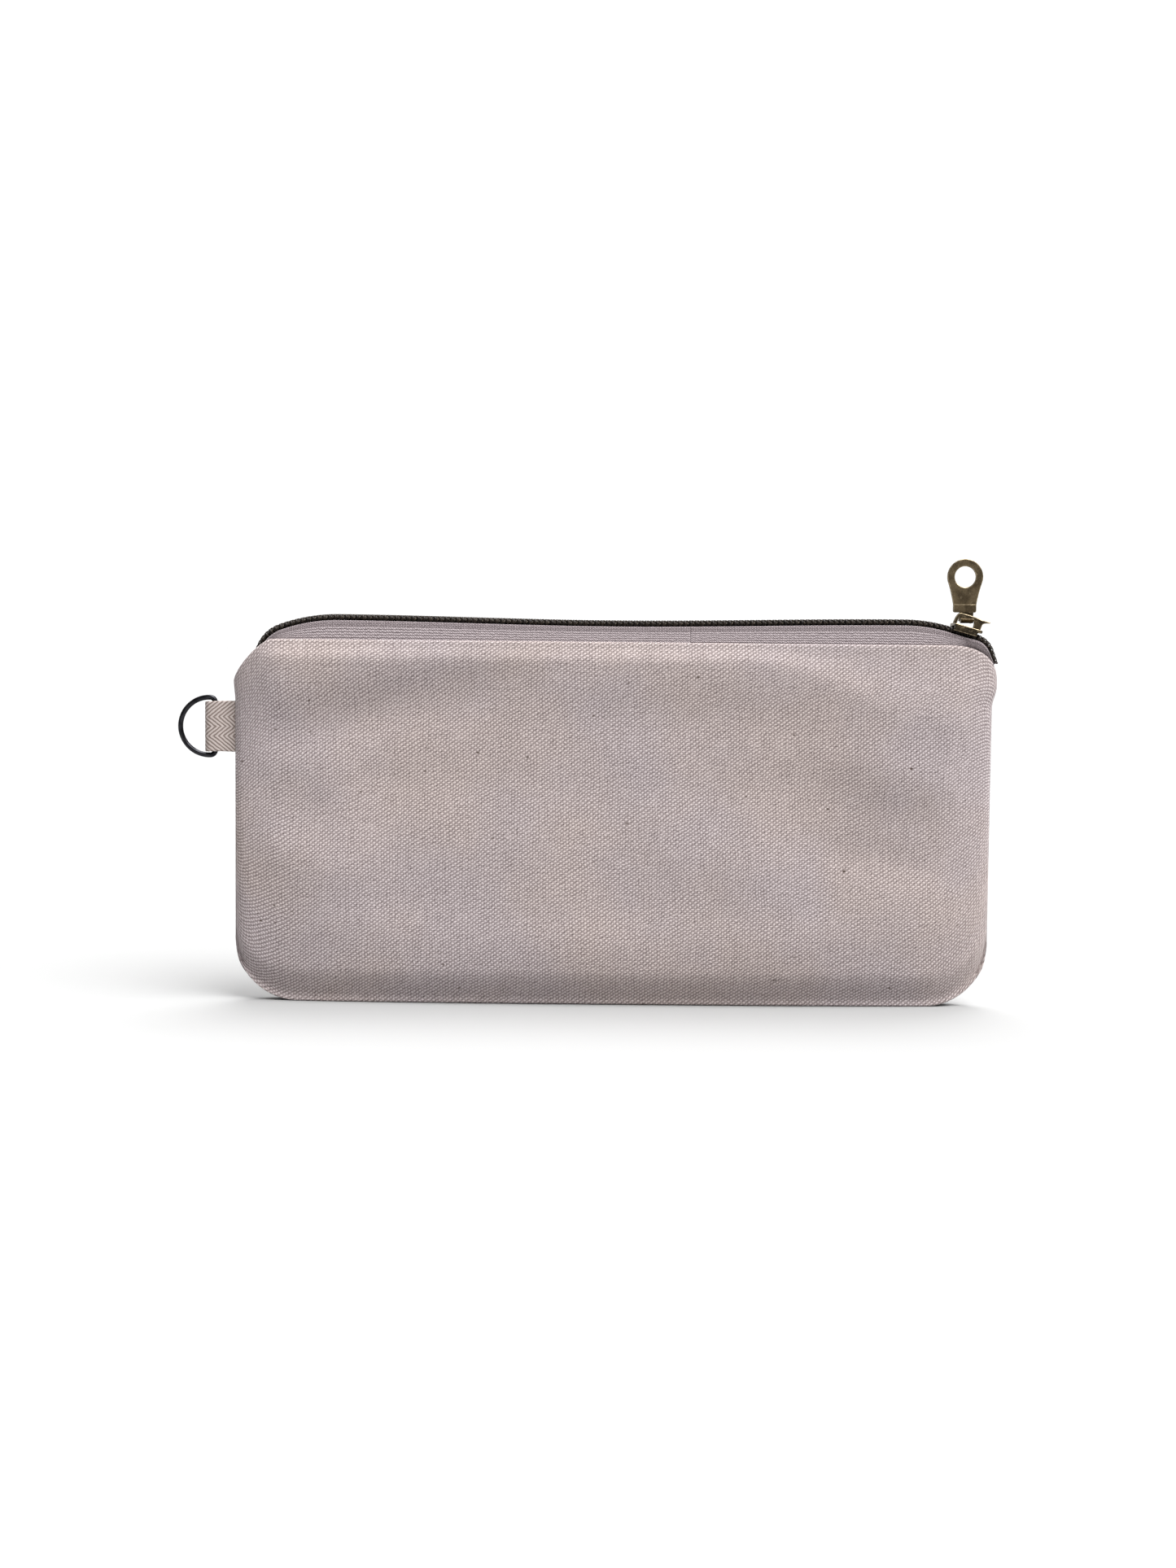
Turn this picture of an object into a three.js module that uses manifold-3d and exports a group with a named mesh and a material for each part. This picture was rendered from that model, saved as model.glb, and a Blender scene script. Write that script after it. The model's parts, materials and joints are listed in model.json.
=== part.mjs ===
// A flat, lined canvas pouch with a coil zipper across its top, a webbing loop with a D-ring at its
// left side seam, and a flat eyelet pull on the zipper slider.
//
// Millimetres, +Z up. X runs along the zipper, with the slider parked at the +X end, -Y is the front.
// The origin is on the surface that the pouch stands on, at the middle of its base.
import * as THREE from "three";
import { mergeVertices } from "three/addons/utils/BufferGeometryUtils.js";
import Module from "manifold-3d";

// ---- driving dimensions ----
const HALF = 103.6; // half the width at the two ears, just under the zipper ends
const HEIGHT = 98.5; // the canvas fold at the mouth
// Each side's reach just below its ear and at the base, as a share of the reach at the ear.
const NARROWING = { left: { below: 0.996, base: 0.996 }, right: { below: 0.988, base: 0.988 } };
const BASE_RADIUS = 17.5; // lower corners, seen from the front
const BASE_HALF = 6; // half depth of the flat sole
const BELLY_HALF = 10; // half depth at the fullest height
const BELLY_Z = 22; // that height
const MOUTH_HALF = 6; // half depth at the mouth

const CANVAS = 0.8; // cloth thickness
const LINING = 0.4;
const TAPE = 0.5;
const GAP = 0.3; // between pieces that touch
const SEAM_GAP = 0.5; // half the room between front and back at the side and base seams
const RIM = SEAM_GAP + CANVAS + 0.4; // half thickness of a turned seam
const THREAD = 0.15; // radius of a seam thread
const LINING_DEPTH = CANVAS + 2 * GAP + 2 * THREAD + TAPE + GAP; // canvas face to lining face
const LINING_INSET = 3.2; // the lining's side seams lie this far inside the canvas ones

const CORNERS = { left: { start: 88, power: 1.6 }, right: { start: 89, power: 2.5 } };
const CORNER_DROP = 11.5; // from the mouth fold down to an ear

const CHAIN_Z = HEIGHT + 5.9; // middle of the coils along the level stretch
const COIL = { width: 3, height: 2, wall: 0.35 };
const COIL_SIDE = 0.15; // half the gap between the two closed coils
const COIL_END = 0.55; // size of the coils where they are tucked into the side seams
const TAPE_DOWN = 9; // how far the tape reaches down between canvas and lining

// The chain's route from the middle of the mouth out to each side seam, as [length, turn in degrees].
const ROUTE_RIGHT = [[78, 0], [12, 16], [7.8, 0], [6, 52], [3.3, 0]];
const ROUTE_LEFT = [[75, 0], [16, 20], [9, 50], [1.5, 0]];

const SLIDER = { along: 94.2, tilt: 16, tail: 3.3, nose: 4.6, post: 2.9, spread: 0.8 }; // on the 16 degree stretch
const PLATE = 0.8;
const BAR = { height: 4.9, halfWidth: 0.6, halfThick: 0.45, beak: 6.4 }; // the slider's bail
const TAB = { along: -0.6, length: 15.4, headRadius: 4.85, hole: 2.85, neck: 3.15, step: 2.6, thick: 1.1 };
const HOOK = { radius: 1.65, half: 0.35, halfWidth: 1.2, turn: 150 }; // the tab's tail round the bail

const TONGUE = { front: 1.3, thick: 0.5 }; // under the collar, just behind the bail's bar
const LOOP = { z: 74.6, half: 6.9, root: 0.65, tongue: 0.2, bend: 109.7, cloth: 0.6, room: 1.1 };
const RING = { wire: 0.7, half: 7.85, bar: 108.6, bow: 110.2, corner: 1.4 };

const SKIN = { canvas: 0xb8aaa8, lining: 0xd9d2c8, tape: 0xa8989f, nylon: 0x3a2f26 };
const METAL = { brass: 0x6b5a40, gunmetal: 0x15161a };

const radians = THREE.MathUtils.degToRad;
const smooth = THREE.MathUtils.smoothstep;
const lerp = THREE.MathUtils.lerp;
const point = (x, y, z) => new THREE.Vector3(x, y, z);

// ---- closed surfaces from rows of points ----
function surface(points, faces) {
  const geometry = new THREE.BufferGeometry().setFromPoints(points);
  geometry.setIndex(faces.flat());
  geometry.computeVertexNormals();
  return geometry;
}

// Four corners as two triangles.
const quad = (a, b, c, d) => [a, b, c, a, c, d];

// The solid between two grids of the same size, such as the two faces of a cloth.
function shell(outer, inner) {
  const rows = outer.length;
  const columns = outer[0].length;
  const out = (i, j) => i * columns + j;
  const back = (i, j) => rows * columns + i * columns + j;
  const faces = [];
  for (let i = 0; i < rows - 1; i++) {
    for (let j = 0; j < columns - 1; j++) {
      faces.push(quad(out(i, j), out(i + 1, j), out(i + 1, j + 1), out(i, j + 1)));
      faces.push(quad(back(i, j), back(i, j + 1), back(i + 1, j + 1), back(i + 1, j)));
    }
    const last = columns - 1;
    faces.push(quad(out(i, 0), back(i, 0), back(i + 1, 0), out(i + 1, 0)));
    faces.push(quad(out(i, last), out(i + 1, last), back(i + 1, last), back(i, last)));
  }
  for (let j = 0; j < columns - 1; j++) {
    const last = rows - 1;
    faces.push(quad(out(0, j), out(0, j + 1), back(0, j + 1), back(0, j)));
    faces.push(quad(out(last, j), back(last, j), back(last, j + 1), out(last, j + 1)));
  }
  return surface([...outer.flat(), ...inner.flat()], faces);
}

// The solid through a row of rings of points, hollow where inner rings are given, closed on itself for a hoop.
function sweep(rings, inner = null, hoop = false) {
  const sides = rings[0].length;
  const count = rings.length;
  const at = (i, j) => (i % count) * sides + (j % sides);
  const hole = (i, j) => count * sides + i * inner[0].length + (j % inner[0].length);
  const faces = [];
  for (let i = 0; i < (hoop ? count : count - 1); i++) {
    for (let j = 0; j < sides; j++) {
      faces.push(quad(at(i, j), at(i, j + 1), at(i + 1, j + 1), at(i + 1, j)));
      if (inner) faces.push(quad(hole(i, j), hole(i + 1, j), hole(i + 1, j + 1), hole(i, j + 1)));
    }
  }
  if (inner) {
    for (let j = 0; j < sides; j++) {
      faces.push(quad(at(0, j), hole(0, j), hole(0, j + 1), at(0, j + 1)));
      faces.push(quad(at(count - 1, j), at(count - 1, j + 1), hole(count - 1, j + 1), hole(count - 1, j)));
    }
  } else if (!hoop) {
    for (let j = 1; j < sides - 1; j++) {
      faces.push([at(0, 0), at(0, j + 1), at(0, j)]);
      faces.push([at(count - 1, 0), at(count - 1, j), at(count - 1, j + 1)]);
    }
  }
  return surface([...rings.flat(), ...(inner ? inner.flat() : [])], faces);
}

// The mirror image through the plane between front and back.
function mirrored(geometry) {
  const copy = geometry.clone().scale(1, -1, 1);
  const index = copy.index.array;
  for (let i = 0; i < index.length; i += 3) {
    [index[i + 1], index[i + 2]] = [index[i + 2], index[i + 1]];
  }
  return copy;
}

// ---- the body's shape ----
function foldZ(x) {
  const corner = x < 0 ? CORNERS.left : CORNERS.right;
  const u = Math.min(1, Math.max(0, (Math.abs(x) - corner.start) / (HALF - corner.start)));
  return HEIGHT - CORNER_DROP * (1 - (1 - u ** corner.power) ** (1 / corner.power));
}

function baseZ(x) {
  const u = Math.max(0, Math.abs(x) - (HALF - BASE_RADIUS));
  return BASE_RADIUS - Math.sqrt(Math.max(0, BASE_RADIUS ** 2 - u ** 2));
}

// Half depth on the middle line at a share v of the height.
function depthAt(v) {
  const z = v * HEIGHT;
  if (z < BELLY_Z) return lerp(BASE_HALF, BELLY_HALF, Math.sqrt(1 - (1 - z / BELLY_Z) ** 2));
  const t = (z - BELLY_Z) / (HEIGHT - BELLY_Z);
  return lerp(MOUTH_HALF, BELLY_HALF, 0.5 + 0.5 * Math.cos(Math.PI * t));
}

// Half depth anywhere: a lens across the body that gets squarer towards the mouth.
function halfDepth(x, v) {
  const power = lerp(2.6, 14, smooth(v, 0.6, 1));
  const across = (1 - Math.min(1, Math.abs(x) / HALF) ** power) ** 0.6;
  return RIM + (depthAt(v) - RIM) * across;
}

function widthShare(x, z) {
  const { below, base } = x < 0 ? NARROWING.left : NARROWING.right;
  const ear = HEIGHT - 17;
  return lerp(lerp(base, below, Math.min(1, z / ear)), 1, smooth(z, ear, ear + 6));
}

// The front's outline in a plane of constant x, from the base seam out along the sole and up to the mouth.
function outline(x, steps, { gap, deep, raise, lower, least }) {
  const low = baseZ(x) + raise;
  const high = foldZ(x) - lower(x);
  const depth = (v) => Math.max(least, halfDepth(x, v) - deep);
  const points = [[gap, low], [lerp(gap, depth(0), 0.5), low]];
  for (let k = 0; k <= steps; k++) {
    const v = (k / steps) ** 1.5;
    points.push([depth(v), lerp(low, high, v)]);
  }
  return points;
}

// A panel of cloth of the given thickness on that outline.
function panel(half, columns, steps, thickness, shape) {
  const outer = [];
  const inner = [];
  for (let i = 0; i <= columns; i++) {
    const x = half * Math.sin((Math.PI / 2) * (2 * (i / columns) - 1));
    const line = outline(x, steps, shape);
    const place = ([y, z]) => point(x * widthShare(x, z), -y, z);
    const inset = line.map(([y, z], k) => {
      if (k < 2) return [y, z + thickness];
      if (k === line.length - 1) return [y - thickness, z];
      const [ya, za] = line[k - 1];
      const [yb, zb] = line[k + 1];
      const length = Math.hypot(yb - ya, zb - za);
      return [y - (thickness * (zb - za)) / length, z + (thickness * (yb - ya)) / length];
    });
    outer.push(line.map(place));
    inner.push(inset.map(place));
  }
  return shell(outer, inner);
}

const canvasPanel = () =>
  panel(HALF, 30, 11, CANVAS, { gap: SEAM_GAP, deep: 0, raise: 0, lower: () => 0, least: RIM });

// The lining stays clear of the tape, which takes up all the room at the ends of the mouth.
const liningPanel = () =>
  panel(HALF - LINING_INSET, 22, 8, LINING, {
    gap: SEAM_GAP,
    deep: LINING_DEPTH,
    raise: LINING_DEPTH,
    lower: (x) => 0.6 + 7 * smooth(Math.abs(x), 86, 97),
    least: SEAM_GAP + LINING + 0.3,
  });

// ---- the zipper chain ----
// Points along a route of [length, turn] pieces that starts level, each with its heading below level.
function walk(pieces, step) {
  const stops = [{ x: 0, drop: 0, heading: 0, along: 0 }];
  for (const [length, turn] of pieces) {
    const count = Math.max(1, Math.round(length / (turn ? step / 5 : step)));
    for (let k = 0; k < count; k++) {
      const { x, drop, heading, along } = stops.at(-1);
      const part = length / count;
      const middle = heading + turn / count / 2;
      stops.push({
        x: x + part * Math.cos(radians(middle)),
        drop: drop + part * Math.sin(radians(middle)),
        heading: heading + turn / count,
        along: along + part,
      });
    }
  }
  return stops;
}

// The whole route from the left seam to the right one: place, upward normal and how far from the middle.
function chainRoute() {
  const right = walk(ROUTE_RIGHT, 8).map((s) => ({ ...s, side: 1 }));
  const left = walk(ROUTE_LEFT, 8).map((s) => ({ ...s, side: -1 }));
  return [...left.slice(1).reverse(), ...right].map(({ x, drop, heading, along, side }) => ({
    x: side * x,
    z: CHAIN_Z - drop,
    nx: side * Math.sin(radians(heading)),
    nz: Math.cos(radians(heading)),
    along: side * along,
  }));
}

// A place at a given distance along the route, between its two stops.
function stopAt(route, along) {
  const next = route.findIndex((stop) => stop.along >= along);
  const [a, b] = [route[next - 1], route[next]];
  const t = (along - a.along) / (b.along - a.along);
  return { x: lerp(a.x, b.x, t), z: lerp(a.z, b.z, t) };
}

// The coils part round the slider's post, and are tucked in small at both ends.
const spreadAt = (along) =>
  SLIDER.spread * smooth(along, SLIDER.along + 0.3, SLIDER.along + 2) * (1 - smooth(along, 99, 105));
const sizeAt = (along) => {
  const end = (along < 0 ? ROUTE_LEFT : ROUTE_RIGHT).reduce((sum, [length]) => sum + length, 0);
  return lerp(1, COIL_END, smooth(Math.abs(along), end - 9, end));
};

// Rings of an oval that follows the front coil, scaled from the coil's own size.
function coilRings(width, height, sides) {
  return chainRoute().map((stop) => {
    const size = sizeAt(stop.along);
    const middle = -(COIL_SIDE + spreadAt(stop.along) + (size * COIL.width) / 2);
    return Array.from({ length: sides }, (_, k) => {
      const a = (2 * Math.PI * k) / sides;
      const up = (size * height * Math.sin(a)) / 2;
      const across = (size * width * Math.cos(a)) / 2;
      return point(stop.x + up * stop.nx, middle + across, stop.z + up * stop.nz);
    });
  });
}

const coil = () =>
  sweep(
    coilRings(COIL.width, COIL.height, 8),
    coilRings(COIL.width - 2 * COIL.wall, COIL.height - 2 * COIL.wall, 8),
  );
const coreCord = () => {
  const room = 2 * COIL.wall + 2 * GAP;
  return sweep(coilRings(COIL.width - room, COIL.height - room, 6));
};

// Where the tape stands at the mouth: its outer face, from the middle plane.
const tapeFace = (x) => Math.max(0.7, halfDepth(x, 1) - CANVAS - 2 * GAP - 2 * THREAD);

// A zipper tape: down between canvas and lining, up past the fold, and over under its coil.
function tape() {
  const under = COIL.height / 2 + GAP; // from the coils' middle to the tape's upper face
  const outer = [];
  const inner = [];
  for (const stop of chainRoute()) {
    const size = sizeAt(stop.along);
    const edge = COIL_SIDE + spreadAt(stop.along);
    const reach = edge + size * COIL.width;
    const face = tapeFace(stop.x);
    const x = stop.x - size * under * stop.nx;
    const top = stop.z - size * under * stop.nz;
    const fold = Math.min(foldZ(x), top - 1.6);
    const bottom = fold - TAPE_DOWN * size;
    const shoulder = Math.min(face + 1.3, reach + 0.7);
    outer.push([
      point(x, -face, bottom),
      point(x, -face, fold),
      point(x, -shoulder, top - 0.9),
      point(x, -(shoulder - 0.35), top - 0.15),
      point(x, -Math.min(reach, shoulder - 0.6), top),
      point(x, -(edge + 0.1), top),
    ]);
    inner.push([
      point(x, -(face - TAPE), bottom),
      point(x, -(face - TAPE), fold),
      point(x, -(shoulder - TAPE), top - 0.9 - TAPE / 2),
      point(x, -(shoulder - 0.35 - TAPE / 2), top - 0.15 - TAPE),
      point(x, -(Math.min(reach, shoulder - 0.6) - 0.1), top - TAPE - 0.1),
      point(x, -(edge + 0.1), top - TAPE),
    ]);
  }
  return shell(outer, inner);
}

// A short thread bar across the two coil ends, sewn where the chain goes into the side seam.
function endTack(stop) {
  const half = COIL_SIDE + COIL_END * COIL.width - 0.1;
  const bar = new THREE.CylinderGeometry(0.35, 0.35, 2 * half, 8);
  const reach = 0.35 + GAP;
  bar.translate(stop.x + Math.sign(stop.x) * stop.nz * reach, 0, stop.z - Math.abs(stop.nx) * reach);
  return bar;
}

// ---- seam threads ----
function threadAlong(points) {
  const section = new THREE.Shape().absarc(0, 0, THREAD, 0, 2 * Math.PI, false);
  const extrudePath = new THREE.CatmullRomCurve3(points);
  const steps = points.length;
  const thread = new THREE.ExtrudeGeometry(section, { extrudePath, steps, curveSegments: 3 });
  thread.deleteAttribute("normal");
  thread.deleteAttribute("uv");
  return mergeVertices(thread);
}

// Down the left side, along the base and up the right side, between front and back.
function seamThread(half, raise, leftTop, rightTop) {
  const inset = 1;
  const edge = half - inset;
  const points = [];
  const place = (x, z) => points.push(point(x * widthShare(x, z), 0, z));
  const corner = baseZ(half) + raise;
  for (let z = leftTop; z > corner + 6; z -= 10) place(-edge, z);
  for (let i = 0; i <= 24; i++) {
    const x = edge * Math.sin((Math.PI / 2) * (i / 12 - 1));
    place(x, baseZ((x * half) / edge) + raise + inset);
  }
  for (let z = corner + 8; z < rightTop; z += 10) place(edge, z);
  return threadAlong(points);
}

// Along the mouth, holding canvas, tape and lining together a little below the fold.
function mouthThread() {
  const points = [];
  for (let x = -84; x <= 84; x += 6) {
    const y = halfDepth(x, 1) - CANVAS - GAP - THREAD;
    points.push(point(x, -y, foldZ(x) - 3));
  }
  return threadAlong(points);
}

// ---- the slider, in its own frame: +X to the nose, origin in the middle of the chain ----
// A plate's outline, from its half width at the tail to that at the nose.
function plateOutline(tail, nose) {
  const back = -SLIDER.tail;
  const front = SLIDER.nose;
  const shape = new THREE.Shape();
  shape.moveTo(back + 0.6, -tail);
  shape.lineTo(0, -tail - 0.1);
  shape.quadraticCurveTo(1.8, -nose, 3, -nose);
  shape.quadraticCurveTo(front, -nose, front, -nose + 1.6);
  shape.quadraticCurveTo(front - 0.9, 0, front, nose - 1.6);
  shape.quadraticCurveTo(front, nose, 3, nose);
  shape.quadraticCurveTo(1.8, nose, 0, tail + 0.1);
  shape.lineTo(back + 0.6, tail);
  shape.quadraticCurveTo(back, tail, back, tail - 0.8);
  shape.lineTo(back, -tail + 0.8);
  shape.quadraticCurveTo(back, -tail, back + 0.6, -tail);
  return shape;
}

const extrude = (shape, depth, curveSegments = 6) =>
  new THREE.ExtrudeGeometry(shape, { depth, bevelEnabled: false, curveSegments });

// The bail from the side: a leg at the tail, a bar along the top, and a column at the nose that runs on as a beak.
function bailShape() {
  const { height, halfThick, beak } = BAR;
  const foot = SLIDER_TOP - 0.2;
  const top = height + halfThick;
  const under = height - halfThick;
  const shape = new THREE.Shape();
  shape.moveTo(-3.3, foot);
  shape.quadraticCurveTo(-3.2, top, -1.8, top);
  shape.lineTo(2.4, top);
  shape.lineTo(beak, top - 0.1);
  shape.lineTo(beak, top - 0.4);
  shape.lineTo(4.6, under);
  shape.lineTo(4.3, foot);
  shape.lineTo(3, foot);
  shape.quadraticCurveTo(3, under, 2.2, under);
  shape.lineTo(-2, under);
  shape.quadraticCurveTo(-2.5, under, -2.5, foot);
  return shape;
}

const CHANNEL_TOP = COIL.height / 2 + 0.35;
const SLIDER_TOP = CHANNEL_TOP + PLATE;
const CHANNEL_LOW = -(COIL.height / 2 + GAP + TAPE + 0.35);

function sliderBody(solid) {
  const low = 0.2; // the flanges end here, over the coils' upper half
  const flange = new THREE.Shape(
    [[-2.9, 3.6], [-0.6, 3.6], [2, 4.25], [3.1, 4.25], [3.1, 4.95], [2, 4.95], [-0.6, 4.35], [-2.9, 4.35]].map(
      ([x, y]) => new THREE.Vector2(x, y),
    ),
  );
  const side = extrude(flange, CHANNEL_TOP + 0.2 - low).translate(0, 0, low);
  const post = new THREE.BoxGeometry(1.4, 1.1, CHANNEL_TOP - CHANNEL_LOW + PLATE);
  return joined(solid, [
    extrude(plateOutline(4.35, 5), PLATE).translate(0, 0, CHANNEL_TOP),
    extrude(plateOutline(2.5, 2.8), PLATE).translate(0, 0, CHANNEL_LOW - PLATE),
    side,
    side.clone().rotateX(Math.PI).translate(0, 0, CHANNEL_TOP + 0.2 + low),
    post.translate(SLIDER.post, 0, (CHANNEL_TOP + CHANNEL_LOW) / 2),
    extrude(bailShape(), 2 * BAR.halfWidth).rotateX(Math.PI / 2).translate(0, BAR.halfWidth, 0),
  ]);
}

// ---- the pull tab, in its own frame: Z up, origin on the axis of the bail's bar ----
// The plate behind the bar: a round head with an eyelet, tapering to the neck.
function tabHead() {
  const { length, headRadius, hole, neck, step } = TAB;
  const centre = length - headRadius;
  const meet = radians(-22); // where the round head runs into the tapering sides
  const shape = new THREE.Shape();
  shape.absarc(0, centre, headRadius, meet, Math.PI - meet, false);
  shape.quadraticCurveTo(-neck - 0.35, step + 2.4, -neck, step - 0.2);
  shape.lineTo(neck, step - 0.2);
  shape.quadraticCurveTo(
    neck + 0.35,
    step + 2.4,
    headRadius * Math.cos(meet),
    centre + headRadius * Math.sin(meet),
  );
  const eyelet = new THREE.Path();
  eyelet.absarc(0, centre, hole, 0, 2 * Math.PI, true);
  shape.holes.push(eyelet);
  return shape;
}

// The thicker collar under the neck.
function tabCollar() {
  const { neck, step } = TAB;
  const shape = new THREE.Shape();
  shape.moveTo(-neck, step);
  shape.lineTo(-neck, 1.5);
  shape.quadraticCurveTo(-neck, 0.9, -neck + 0.6, 0.9);
  shape.lineTo(neck - 0.6, 0.9);
  shape.quadraticCurveTo(neck, 0.9, neck, 1.5);
  shape.lineTo(neck, step);
  return shape;
}

// The thin tongue under the collar, which swings through the bail's window and slopes as the bail does.
function tabTongue() {
  return new THREE.Shape(
    [[-1.3, 1.2], [-1.3, 0], [-1.7, -1.4], [1.8, -2.1], [2.4, 0.2], [2.4, 1.2]].map(
      ([x, z]) => new THREE.Vector2(x, z),
    ),
  );
}

// The tail seen from the side: down behind the bar, round under it and a little way up in front.
function tabHook() {
  const { radius, half, turn } = HOOK;
  const end = radians(-turn);
  const shape = new THREE.Shape();
  shape.moveTo(radius + half, 1.4);
  shape.lineTo(radius + half, 0);
  shape.absarc(0, 0, radius + half, 0, end, true);
  shape.lineTo((radius - half) * Math.cos(end), (radius - half) * Math.sin(end));
  shape.absarc(0, 0, radius - half, end, 0, false);
  shape.lineTo(radius - half, 1.4);
  return shape;
}

function pullTab(solid) {
  const { thick } = TAB;
  // An outline drawn in X and Z, as thick as asked and standing behind the bar.
  const plate = (shape, depth, segments) =>
    extrude(shape, depth, segments).rotateX(Math.PI / 2).translate(0, HOOK.radius + depth / 2, 0);
  const tail = extrude(tabHook(), 2 * HOOK.halfWidth, 10);
  // From drawn in X and Y, extruded along Z, to drawn in Y and Z, extruded along X.
  tail.applyMatrix4(new THREE.Matrix4().makeBasis(point(0, 1, 0), point(0, 0, 1), point(1, 0, 0)));
  tail.translate(-HOOK.halfWidth, 0, 0);
  const tongue = extrude(tabTongue(), TONGUE.thick).rotateX(Math.PI / 2).translate(0, TONGUE.front + TONGUE.thick, 0);
  return joined(solid, [plate(tabHead(), thick, 20), plate(tabCollar(), thick + 0.4, 3), tongue, tail]);
}

// ---- the side loop: webbing folded over the ring's bar, its two ends sewn into the side seam ----
function sideLoop() {
  const { z, half, root, tongue, bend, cloth, room } = LOOP;
  const edge = HALF * NARROWING.left.below;
  const shape = new THREE.Shape();
  shape.moveTo(-(edge - 0.35), tongue);
  shape.lineTo(-(edge + 0.5), tongue);
  shape.lineTo(-(edge + 1), root);
  shape.quadraticCurveTo(-(edge + 3), room + cloth, -bend, room + cloth);
  shape.absarc(-bend, 0, room + cloth, Math.PI / 2, (3 * Math.PI) / 2, false);
  shape.quadraticCurveTo(-(edge + 3), -room - cloth, -(edge + 1), -root);
  shape.lineTo(-(edge + 0.5), -tongue);
  shape.lineTo(-(edge - 0.35), -tongue);
  const inside = new THREE.Path();
  inside.moveTo(-(edge + 1.6), 0.05);
  inside.lineTo(-(edge + 1.6), -0.05);
  inside.quadraticCurveTo(-(edge + 4), -room, -bend, -room);
  inside.absarc(-bend, 0, room, (3 * Math.PI) / 2, Math.PI / 2, true);
  inside.quadraticCurveTo(-(edge + 4), room, -(edge + 1.6), 0.05);
  shape.holes.push(inside);
  return extrude(shape, 2 * half, 8).translate(0, 0, z - half);
}

// ---- the D-ring: round wire bent to a straight bar and a bow ----
function dRing() {
  const { wire, half, bar, bow, corner } = RING;
  const path = [];
  const arc = (x, z, radius, from, to, count) => {
    for (let k = 0; k <= count; k++) {
      const a = radians(lerp(from, to, k / count));
      path.push({ x: x + radius * Math.cos(a), z: z + radius * Math.sin(a), a });
    }
  };
  arc(-bow, 0, half, 90, 270, 18);
  arc(-bar - corner, -half + corner, corner, 270, 360, 4);
  arc(-bar - corner, half - corner, corner, 0, 90, 4);
  return sweep(
    path.map(({ x, z, a }) =>
      Array.from({ length: 8 }, (_, k) => {
        const turn = (2 * Math.PI * k) / 8;
        const out = wire * Math.cos(turn);
        return point(x + out * Math.cos(a), wire * Math.sin(turn), LOOP.z + z + out * Math.sin(a));
      }),
    ),
    null,
    true,
  );
}

// ---- the assembly ----
const wasm = await Module();
wasm.setup();

// A geometry as a manifold solid, and several such solids joined into one geometry.
function solidOf(geometry) {
  const bare = new THREE.BufferGeometry();
  bare.setAttribute("position", geometry.getAttribute("position"));
  if (geometry.index) bare.setIndex(geometry.index);
  const merged = mergeVertices(bare, 1e-4);
  return new wasm.Manifold(
    new wasm.Mesh({
      numProp: 3,
      vertProperties: merged.attributes.position.array,
      triVerts: new Uint32Array(merged.index.array),
    }),
  );
}

function joined(solid, pieces) {
  const mesh = pieces
    .map(solid)
    .reduce((a, b) => a.add(b))
    .getMesh();
  const geometry = new THREE.BufferGeometry();
  geometry.setAttribute("position", new THREE.BufferAttribute(mesh.vertProperties, 3));
  geometry.setIndex(new THREE.BufferAttribute(mesh.triVerts, 1));
  return geometry;
}

const pouch = new THREE.Group();

function add(name, geometry, colour, metalness = 0, roughness = 0.9) {
  const mesh = new THREE.Mesh(
    geometry,
    new THREE.MeshStandardMaterial({ color: colour, metalness, roughness }),
  );
  mesh.name = name;
  pouch.add(mesh);
}

// The same piece on the front and, mirrored, on the back.
function addPair(name, geometry, colour) {
  add("front_" + name, geometry, colour);
  add("back_" + name, mirrored(geometry), colour);
}

addPair("panel", canvasPanel(), SKIN.canvas);
addPair("lining", liningPanel(), SKIN.lining);
addPair("zipper_tape", tape(), SKIN.tape);
addPair("coil", coil(), SKIN.nylon);
addPair("core_cord", coreCord(), SKIN.tape);
addPair("mouth_thread", mouthThread(), SKIN.canvas);
add("outer_seam_thread", seamThread(HALF, 0, 84, 84), SKIN.canvas);
add("lining_seam_thread", seamThread(HALF - LINING_INSET, LINING_DEPTH, 82, 82), SKIN.lining);
const route = chainRoute();
add("left_end_tack", endTack(route.at(0)), SKIN.nylon);
add("right_end_tack", endTack(route.at(-1)), SKIN.nylon);

const parked = stopAt(route, SLIDER.along);
const tilted = (geometry) => geometry.rotateY(radians(SLIDER.tilt)).translate(parked.x, 0, parked.z);
add("slider_body", tilted(sliderBody(solidOf)), METAL.brass, 1, 0.45);
const axis = point(TAB.along, 0, BAR.height).applyAxisAngle(point(0, 1, 0), radians(SLIDER.tilt));
const tab = pullTab(solidOf).translate(parked.x + axis.x, 0, parked.z + axis.z);
add("pull_tab", tab, METAL.brass, 1, 0.45);
add("side_loop", sideLoop(), SKIN.canvas);
add("d_ring", dRing(), METAL.gunmetal, 1, 0.25);

export default pouch;
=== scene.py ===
"""A lined canvas pouch with a coil zipper, a webbing loop with a D-ring and a flat eyelet pull.

Lengths are in millimetres until a mesh is made.
"""
import json
import math

import bpy
import numpy as np
from mathutils import Matrix, Vector


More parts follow.
